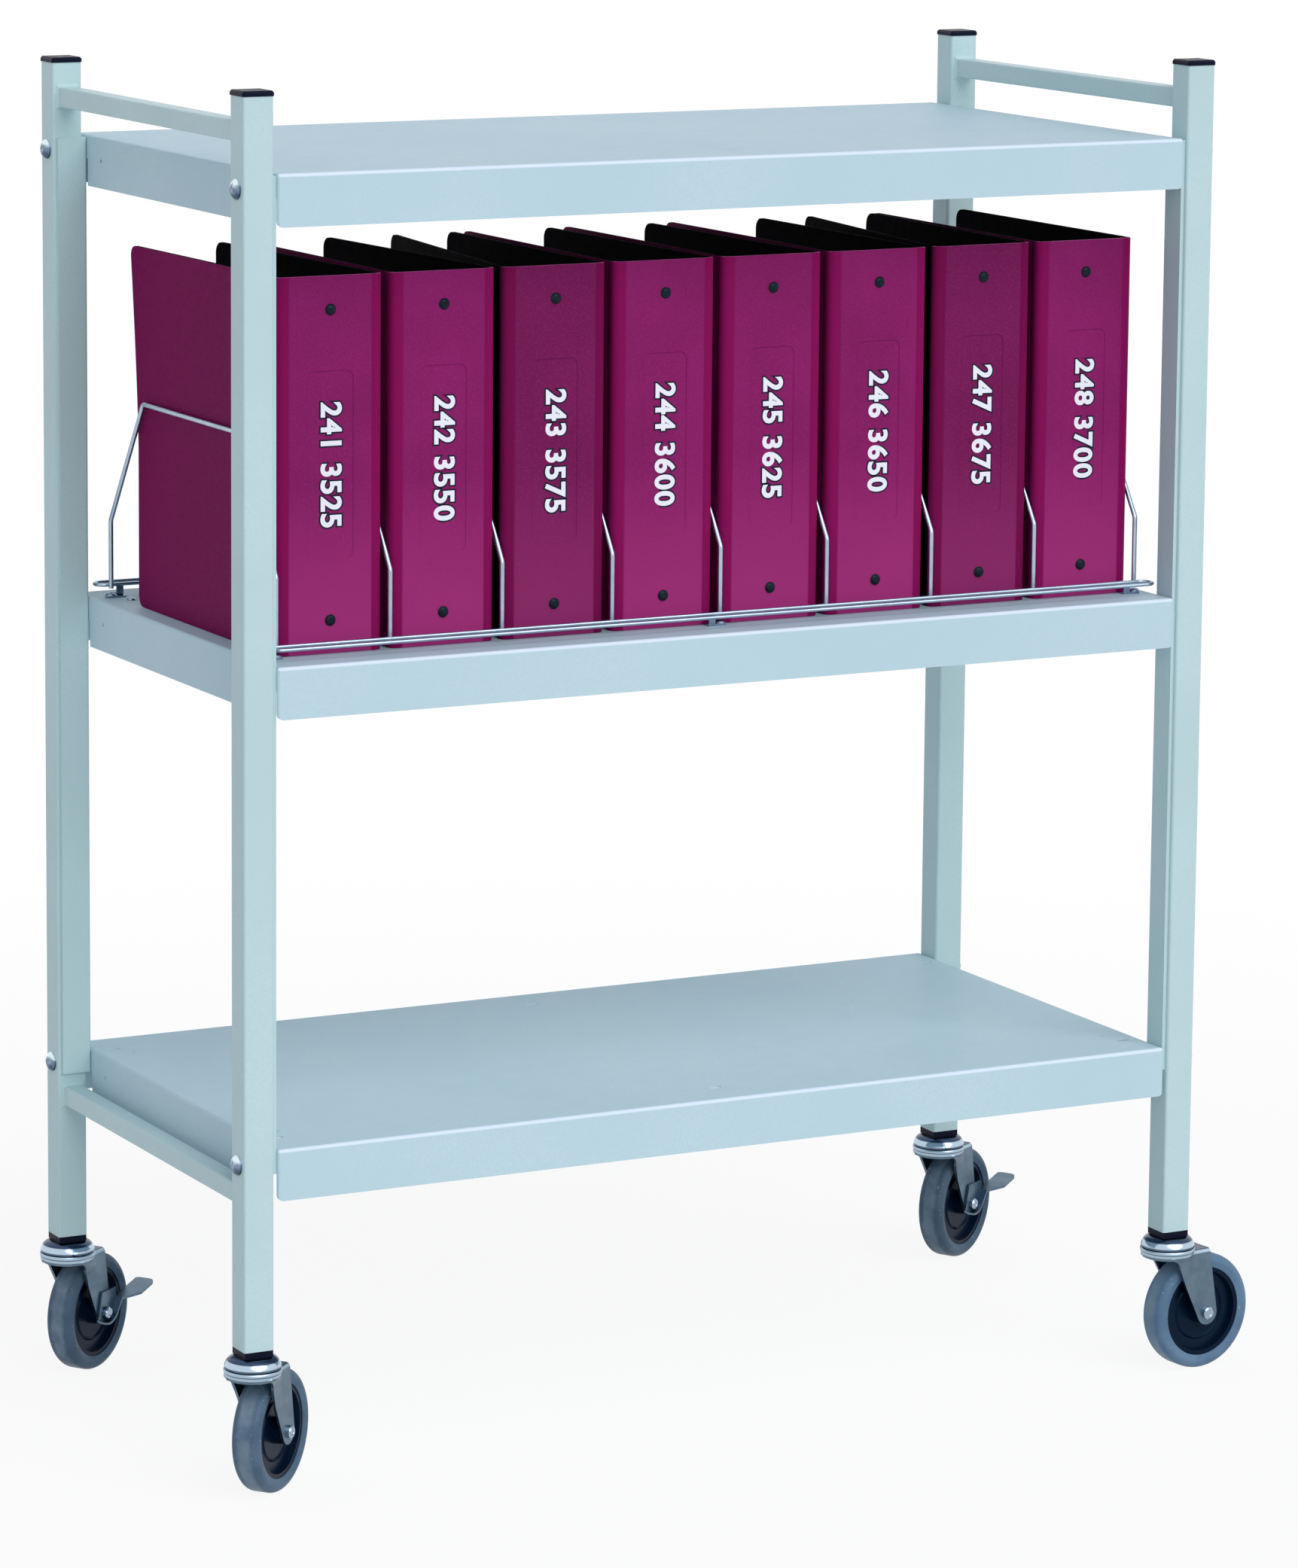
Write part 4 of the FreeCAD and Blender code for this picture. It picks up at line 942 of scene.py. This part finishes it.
@dataclass
class Binder:
    """One ring binder: a rounded spine with a sunk panel and its number, and two hinged boards.

    The boards' turns are in degrees, and their splays, at the top back corner, in millimetres.
    A board that leans inwards further than the given lean gets the dark lining on both faces as
    painted shade.
    """

    number: int
    turns: tuple[float, float]
    splay: tuple[float, float]
    colour: Colour

    pitch: float = 97.7 * MM
    half: float = 45.25 * MM
    board: float = 2.8 * MM
    spine_round: float = 6.0 * MM
    strip: float = 10.4 * MM
    strip_set_back: tuple[float, float] = (0.05 * MM, 0.12 * MM)
    score_width: float = 0.7 * MM
    score_depth: float = 0.28 * MM
    corner: float = 9.0 * MM
    groove: float = 0.7 * MM
    groove_at: float = 6.0 * MM
    groove_width: float = 1.6 * MM
    bow_foot: float = 0.45
    bow_along: float = 1.6
    bow_up: float = 1.3
    near_hinge: tuple[float, ...] = (0.0, 3.4 * MM, 4.8 * MM, 6.0 * MM, 7.2 * MM, 8.6 * MM)
    columns: int = 17
    rows: int = 16
    round_steps: int = 8
    panel_width: float = 40.0 * MM
    panel_height: float = 148.0 * MM
    panel_depth: float = 0.6 * MM
    panel_slope: float = 0.5 * MM
    panel_round: float = 6.0 * MM
    panel_steps: int = 6

    charts: tuple[int, int] = (240, 3500)
    chart_steps: tuple[int, int] = (1, 25)
    digit_size: float = 24.0 * MM
    digit_space: float = 1.1
    digit_weight: float = 0.75 * MM
    digit_thickness: float = 0.04 * MM
    digit_lift: float = 0.22 * MM
    edge_swell: float = 1.3 * MM
    edge_lift: float = 0.1 * MM

    # A board that leans inwards further than this many degrees gets the dark lining as painted
    # shade.
    shade_lean: float = 6.0
    lined_from: float = 4.0 * MM
    end_normal: float = 0.9
    inner_normal: float = 0.6
    back_normal: float = 0.3

    low: Vector = field(init=False)
    high: Vector = field(init=False)
    centre: float = field(init=False)
    front: float = field(init=False)
    fold: float = field(init=False)
    tall: float = field(init=False)
    body: str = field(init=False)

    def __post_init__(self) -> None:
        """Take the cover's place from its CAD node."""
        self.low, self.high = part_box("binder_cover_%d" % self.number)
        self.centre = (self.number - 0.5 - BAYS / 2) * self.pitch
        self.front = self.low.y
        self.fold = self.front + self.spine_round
        self.tall = self.high.z - self.low.z
        self.body = "binder_%d" % self.number

    def hinge(self, side: Side) -> Vector:
        """Middle of the hinge line at the foot of one board."""
        out = side.value * (self.half - self.board / 2)
        return Vector((self.centre + out, self.fold, self.low.z))

    def quarter(self, radius: float) -> list[tuple[float, float]]:
        """Points round a quarter circle.

        Args:
            radius: Its radius.

        Returns:
            Distance out and distance back for each point, from the front to the side.
        """
        angles = [math.pi / 2 * i / self.round_steps for i in range(self.round_steps + 1)]
        return [(radius * math.sin(angle), radius * math.cos(angle)) for angle in angles]

    def outline(self) -> list[tuple[float, float]]:
        """Outline of the spine from above, open across the flat between the scored lines.

        Returns:
            Points from the right scored line round the back to the left one, from the middle.
        """
        flat = self.half - self.strip
        middle = self.half - self.spine_round
        near, far = self.strip_set_back
        right = [(flat, 0.0), (flat + self.score_width / 2, self.score_depth),
                 (flat + self.score_width, near)]
        for i, (out, back) in enumerate(self.quarter(self.spine_round)):
            set_back = far * (1 - i / self.round_steps)
            right.append((middle + out, self.spine_round - back + set_back))
        for out, back in reversed(self.quarter(self.spine_round - self.board)):
            right.append((middle + out, self.spine_round - back))
        return right + [(-x, y) for x, y in reversed(right)]

    def spine(self, shape: Shape) -> None:
        """Add the spine: a shallow channel with rounded edges, scored lines and a sunk panel.

        Args:
            shape: Mesh to add to.
        """
        outline = [(self.centre + x, self.front + y) for x, y in self.outline()]
        levels = (self.low.z, self.high.z)
        foot, head = ([shape.verts.new((x, y, z)) for x, y in outline] for z in levels)
        join_rows(shape, foot, head, closed=False)
        for z in levels:
            shape.faces.new([shape.verts.new((x, y, z)) for x, y in outline])
        loops = (self.panel_loop(0.0, 0.0), self.panel_loop(self.panel_slope, self.panel_depth))
        rim, bed = ([shape.verts.new(point) for point in loop] for loop in loops)
        join_rows(shape, rim, bed, closed=True)
        shape.faces.new(bed)
        flat = self.half - self.strip
        border = [shape.verts.new((self.centre + side * flat, self.front, levels[level]))
                  for side, level in ((-1, 0), (1, 0), (1, 1), (-1, 1))]
        count = len(rim)
        edges = [shape.edges.new((border[i], border[(i + 1) % 4])) for i in range(4)]
        edges += [shape.edges.get((rim[i], rim[(i + 1) % count])) for i in range(count)]
        bmesh.ops.triangle_fill(shape, use_beauty=True, edges=edges)

    def panel_loop(self, inset: float, depth: float) -> list[Vector]:
        """Rounded rectangle of the sunk panel.

        Args:
            inset: Distance in from the panel's rim.
            depth: Distance behind the spine's face.

        Returns:
            Points round the loop.
        """
        middle = (self.low.z + self.high.z) / 2
        radius = self.panel_round - inset
        reach_x = self.panel_width / 2 - self.panel_round
        reach_z = self.panel_height / 2 - self.panel_round
        loop = []
        for sx, sz, start in ((1, 1, 0.0), (-1, 1, 90.0), (-1, -1, 180.0), (1, -1, 270.0)):
            for i in range(self.panel_steps + 1):
                angle = math.radians(start + 90.0 * i / self.panel_steps)
                loop.append(Vector((self.centre + sx * reach_x + radius * math.cos(angle),
                                    self.front + depth,
                                    middle + sz * reach_z + radius * math.sin(angle))))
        return loop

    def board_rows(self) -> list[tuple[float, float]]:
        """Heights of a board's rows, and how far each stops short at the rounded corners.

        Returns:
            Pairs of height above the foot and shortfall, from the foot up.
        """
        arc = [(self.corner - back, self.corner - out) for out, back in self.quarter(self.corner)]
        clear = self.tall - 2 * self.corner
        plain = [(self.corner + clear * i / self.rows, 0.0) for i in range(1, self.rows)]
        return arc + plain + [(self.tall - z, short) for z, short in reversed(arc)]

    def board_side(self, shape: Shape, side: Side) -> None:
        """Add one board, swung at its hinge and bowed towards its top back corner.

        Args:
            shape: Mesh to add to.
            side: Which board.
        """
        index = 0 if side is Side.LEFT else 1
        turn = math.radians(self.turns[index])
        bow = self.splay[index] * MM
        root = self.hinge(side)
        length = self.high.y - root.y
        start = self.near_hinge[-1]
        grid = []
        for z, short in self.board_rows():
            run = length - short - start
            far = [start + run * i / self.columns for i in range(1, self.columns + 1)]
            grid.append([(u, z) for u in (*self.near_hinge, *far)])

        def place(u: float, z: float, out: float) -> Vector:
            """Point on a face of the board.

            Args:
                u: Distance back from the hinge.
                z: Height above the foot.
                out: Offset across the board.

            Returns:
                The point.
            """
            rise = max(0.0, (z / self.tall - self.bow_foot) / (1 - self.bow_foot))
            across = bow * (u / length) ** self.bow_along * rise ** self.bow_up + out
            if out * side.value > 0:
                dip = math.exp(-((u - self.groove_at) / self.groove_width) ** 2)
                across -= side.value * self.groove * dip
            return Vector((root.x + across * math.cos(turn) + u * math.sin(turn),
                           root.y - across * math.sin(turn) + u * math.cos(turn), root.z + z))

        def skin(out: float) -> list[list[bmesh.types.BMVert]]:
            """Rows of points on one face of the board."""
            return [[shape.verts.new(place(u, z, out)) for u, z in row] for row in grid]

        near, far = skin(-self.board / 2), skin(self.board / 2)
        last = len(grid[0]) - 1
        for a in range(len(grid) - 1):
            b = a + 1
            for i in range(last):
                shape.faces.new((near[a][i], near[a][i + 1], near[b][i + 1], near[b][i]))
                shape.faces.new((far[a][i], far[b][i], far[b][i + 1], far[a][i + 1]))
            shape.faces.new((near[a][-1], far[a][-1], far[b][-1], near[b][-1]))
            shape.faces.new((near[a][0], near[b][0], far[b][0], far[a][0]))
        for row in (0, len(grid) - 1):
            for i in range(last):
                shape.faces.new((near[row][i], far[row][i], far[row][i + 1], near[row][i + 1]))

    def face_finish(self, polygon: bpy.types.MeshPolygon) -> CoverFace:
        """Choose the finish of one face of the cover.

        The lining covers the inner faces and the ends of the boards, and, as painted shade, a
        board that leans far inwards. The ends of the spine show the cut sheet.

        Args:
            polygon: The face.

        Returns:
            Its finish.
        """
        offset = polygon.center.x - self.centre
        depth = polygon.center.y
        towards = -1 if offset > 0 else 1
        lean = self.turns[0 if offset < 0 else 1] * towards
        end = abs(polygon.normal.z) > self.end_normal
        inwards = polygon.normal.x * towards > self.inner_normal
        inner_board = inwards and depth > self.front + self.lined_from
        # Board ends get the lining, and a board that leans far inwards gets it too, as painted
        # shade.
        board_end_or_shaded = depth > self.fold and (end or lean > self.shade_lean)
        inner_spine = polygon.normal.y > self.back_normal and depth < self.fold
        if inner_board or board_end_or_shaded or inner_spine:
            return CoverFace.LINING
        return CoverFace.CUT if end else CoverFace.SHEET

    def print_number(self, name: str, material: Material, swell: float,
                     lift: float) -> None:
        """Print the chart number down the spine panel once.

        Args:
            name: Name of this printing.
            material: Its ink.
            swell: How much wider its strokes are drawn.
            lift: How far it stands off the panel.
        """
        text = bpy.data.curves.new("binder_%d_%s" % (self.number, name), "FONT")
        charts = zip(self.charts, self.chart_steps)
        text.body = " ".join(str(first + step * self.number) for first, step in charts)
        text.size = self.digit_size
        text.space_character = self.digit_space
        text.align_x = "CENTER"
        text.align_y = "CENTER"
        text.offset = self.digit_weight + swell
        text.extrude = self.digit_thickness
        source = bpy.data.objects.new(text.name + "_source", text)
        bpy.context.scene.collection.objects.link(source)
        graph = bpy.context.evaluated_depsgraph_get()
        data = bpy.data.meshes.new_from_object(source.evaluated_get(graph))
        bpy.data.objects.remove(source)
        place = Vector((self.centre, self.front + self.panel_depth - lift,
                        (self.low.z + self.high.z) / 2))
        turn = (Matrix.Rotation(math.radians(90), 4, "X")
                @ Matrix.Rotation(math.radians(-90), 4, "Z"))
        data.transform(Matrix.Translation(place) @ turn)
        piece = place_object(text.name, data, [material])
        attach(piece, self.body)

    def build(self, inks: BinderInks) -> None:
        """Make the cover over its CAD node, and print its number white on a dark edge.

        Args:
            inks: Shared finishes.
        """
        sheet = CoverSheet("binder_poly_%d" % self.number, colour=self.colour,
                           centre_x=self.centre, strip=self.half - self.strip + self.score_width,
                           fold_y=self.fold, foot_z=self.low.z).make()

        def whole(shape: Shape) -> None:
            """Add the spine and both boards.

            Args:
                shape: Mesh to add to.
            """
            self.spine(shape)
            for side in Side:
                self.board_side(shape, side)

        cover = mesh_object("binder_%d_cover" % self.number, whole, sheet, inks.lining, inks.cut)
        for polygon in cover.data.polygons:
            polygon.material_index = self.face_finish(polygon).value
        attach(cover, self.body)
        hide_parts("binder_cover_%d" % self.number)
        self.print_number("edge", inks.edge, self.edge_swell, self.edge_lift)
        self.print_number("digits", inks.digits, 0.0, self.digit_lift)


# Grain of the boards' lining and cut edges.
BOARD_GRAIN = Relief(scale=1100.0, depth=0.05 * MM, strength=0.6)


@dataclass
class BinderRow:
    """The eight binders in their bays, each with its own lean and shade.

    Turns and splays are given as for Binder, left board first.
    """

    plum: Colour = (0.535, 0.135, 0.395)
    wine: Colour = (0.465, 0.12, 0.345)
    wine_bays: tuple[int, ...] = (3, 7)
    turns: tuple[tuple[float, float], ...] = (
        (0.0, -4.1), (0.0, -4.4), (6.5, -1.1), (0.0, -2.8),
        (0.0, -3.4), (0.0, -1.4), (6.5, 0.0), (0.0, -1.0))
    splay: tuple[tuple[float, float], ...] = (
        (-6.5, 0.0), (-7.0, 0.0), (0.0, 0.0), (-1.0, 0.0),
        (-6.0, 0.0), (-6.0, 0.0), (0.0, 4.0), (-1.0, 0.0))
    lining: Moulding = Moulding("binder_lining", colour=(0.008, 0.006, 0.028), rough=0.6,
                                gloss=0.01, relief=BOARD_GRAIN)
    cut: Moulding = Moulding("binder_cut_edge", colour=(0.70, 0.34, 0.55), rough=0.5, gloss=0.1,
                             relief=BOARD_GRAIN)
    white: Ink = Ink("label_white", colour=(0.93, 0.94, 0.97), worn=(0.7, 0.45, 0.6))
    dark: Ink = Ink("label_edge", colour=(0.06, 0.04, 0.17), worn=(0.3, 0.1, 0.25))

    def build(self) -> None:
        """Make every binder and dress its ring mechanism."""
        inks = BinderInks(self.lining.make(), self.cut.make(), self.white.make(), self.dark.make())
        numbers = range(1, BAYS + 1)
        for number, turns, splay in zip(numbers, self.turns, self.splay):
            shade = self.wine if number in self.wine_bays else self.plum
            Binder(number, turns, splay, shade).build(inks)
        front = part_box("binder_cover_1")[0].y
        rings = BinderHardware("ring_steel", spine_y=front).make()
        dress(["binder_rings_%d" % number for number in numbers], rings)


# ---- studio


@dataclass
class Studio:
    """Floor, light and camera.

    The eye is in millimetres, and angles are in degrees. The focal length, the centre and
    the image size are in pixels. The floor's sizes are in metres.
    """

    eye: Triple = (-2315.69, -4436.875, 1471.121)
    yaw: float = 26.346
    pitch: float = -8.661
    roll: float = 0.305
    focal: float = 8133.694
    centre_x: float = 660.0
    centre_y: float = 720.0
    image_width: float = 1724.0
    image_height: float = 2083.0
    sensor: float = 36.0
    view_depth: float = 100.0
    floor_size: float = 60.0
    floor_shade: Colour = (0.82, 0.82, 0.82)
    floor_rough: float = 0.9
    floor_glow: float = 0.9
    glow_from: float = 0.75
    glow_full: float = 2.2
    sky: float = 1.0
    horizon: Colour = (0.72, 0.72, 0.71)
    zenith: Colour = (0.28, 0.285, 0.41)
    sun: float = 1.60
    sun_width: float = 56.0
    sun_way: Triple = (-0.1, 0.76, -0.64)

    def build(self) -> None:
        """Make the whole studio."""
        self.world()
        self.floor()
        self.lamps()
        self.camera()
        bpy.context.scene.view_settings.view_transform = "Standard"

    def seen(self, tree: bpy.types.NodeTree) -> Socket:
        """Tell the rays that see the background: camera, glossy and transmission rays.

        Args:
            tree: Node tree to add to.

        Returns:
            The socket that is 1 for those rays and 0 for others.
        """
        path = tree.nodes.new("ShaderNodeLightPath")
        total = path.outputs["Is Camera Ray"]
        for name in ("Is Glossy Ray", "Is Transmission Ray"):
            node = tree.nodes.new("ShaderNodeMath")
            node.operation = "ADD"
            node.use_clamp = True
            tree.links.new(total, node.inputs[0])
            tree.links.new(path.outputs[name], node.inputs[1])
            total = node.outputs[0]
        return total

    def world(self) -> None:
        """White background over an even sky light, faintly blue overhead."""
        world = bpy.data.worlds.new("studio")
        bpy.context.scene.world = world
        world.use_nodes = True
        tree = world.node_tree
        background = tree.nodes["Background"]
        background.inputs["Strength"].default_value = self.sky
        place = tree.nodes.new("ShaderNodeTexCoord")
        split = tree.nodes.new("ShaderNodeSeparateXYZ")
        tree.links.new(place.outputs["Generated"], split.inputs[0])
        tint = tree.nodes.new("ShaderNodeMix")
        tint.data_type = "RGBA"
        tint.inputs[MIX_FIRST].default_value = (*self.horizon, 1.0)
        tint.inputs[MIX_SECOND].default_value = (*self.zenith, 1.0)
        tree.links.new(split.outputs["Z"], tint.inputs["Factor"])
        tree.links.new(tint.outputs[MIX_RESULT], background.inputs["Color"])
        white = tree.nodes.new("ShaderNodeBackground")
        white.inputs["Color"].default_value = (1.0, 1.0, 1.0, 1.0)
        mix = tree.nodes.new("ShaderNodeMixShader")
        tree.links.new(self.seen(tree), mix.inputs[0])
        tree.links.new(background.outputs[0], mix.inputs[1])
        tree.links.new(white.outputs[0], mix.inputs[2])
        tree.links.new(mix.outputs[0], tree.nodes["World Output"].inputs["Surface"])

    def floor(self) -> None:
        """Pale floor that keeps a soft shadow near the rack and runs out to white."""
        def plane(shape: Shape) -> None:
            """Add the floor's square.

            Args:
                shape: Mesh to add to.
            """
            half = self.floor_size / 2
            corners = ((-half, -half), (half, -half), (half, half), (-half, half))
            shape.faces.new([shape.verts.new((x, y, 0.0)) for x, y in corners])

        shader = Shader("pale_floor")
        shader.set(Roughness=self.floor_rough, Specular_IOR_Level=0.0,
                   Base_Color=(*self.floor_shade, 1.0))
        tree = shader.material.node_tree
        glow = tree.nodes.new("ShaderNodeEmission")
        span = tree.nodes.new("ShaderNodeVectorMath")
        span.operation = "LENGTH"
        tree.links.new(shader.place, span.inputs[0])
        share = shader.ramp(span.outputs["Value"], self.glow_from, self.glow_full,
                            self.floor_glow, 1.0)
        mix = tree.nodes.new("ShaderNodeMixShader")
        tree.links.new(shader.math("MULTIPLY", share, self.seen(tree)), mix.inputs[0])
        tree.links.new(shader.surface.outputs[0], mix.inputs[1])
        tree.links.new(glow.outputs[0], mix.inputs[2])
        tree.links.new(mix.outputs[0], tree.nodes["Material Output"].inputs["Surface"])
        mesh_object("floor", plane, shader.material)

    def lamps(self) -> None:
        """One very broad key light from in front and above."""
        sun = bpy.data.lights.new("key", "SUN")
        sun.energy = self.sun
        sun.angle = math.radians(self.sun_width)
        lamp = bpy.data.objects.new("key", sun)
        bpy.context.scene.collection.objects.link(lamp)
        lamp.rotation_mode = "QUATERNION"
        lamp.rotation_quaternion = Vector(self.sun_way).to_track_quat("-Z", "Y")

    def camera(self) -> None:
        """Camera at the viewing angle, with only a small shift."""
        data = bpy.data.cameras.new("camera")
        data.sensor_width = self.sensor
        data.lens = self.sensor * self.focal / self.image_height
        data.shift_x = (self.image_width / 2 - self.centre_x) / self.image_height
        data.shift_y = (self.centre_y - self.image_height / 2) / self.image_height
        data.clip_end = self.view_depth
        camera = bpy.data.objects.new("camera", data)
        bpy.context.scene.collection.objects.link(camera)
        turn = (Matrix.Rotation(math.radians(-self.yaw), 4, "Z")
                @ Matrix.Rotation(math.radians(90.0 + self.pitch), 4, "X")
                @ Matrix.Rotation(math.radians(self.roll), 4, "Z"))
        camera.matrix_world = Matrix.Translation(Vector(self.eye) * MM) @ turn
        bpy.context.scene.camera = camera


def main() -> None:
    """Build the chart rack's looks around its frame, then the studio."""
    logging.basicConfig(level=logging.INFO, format="%(name)s: %(message)s")
    for part in (CartFrame(), Casters(), WireRack(), BinderRow(), Studio()):
        part.build()
        LOG.info("finished %s", type(part).__name__)


if __name__ == "__main__":
    main()
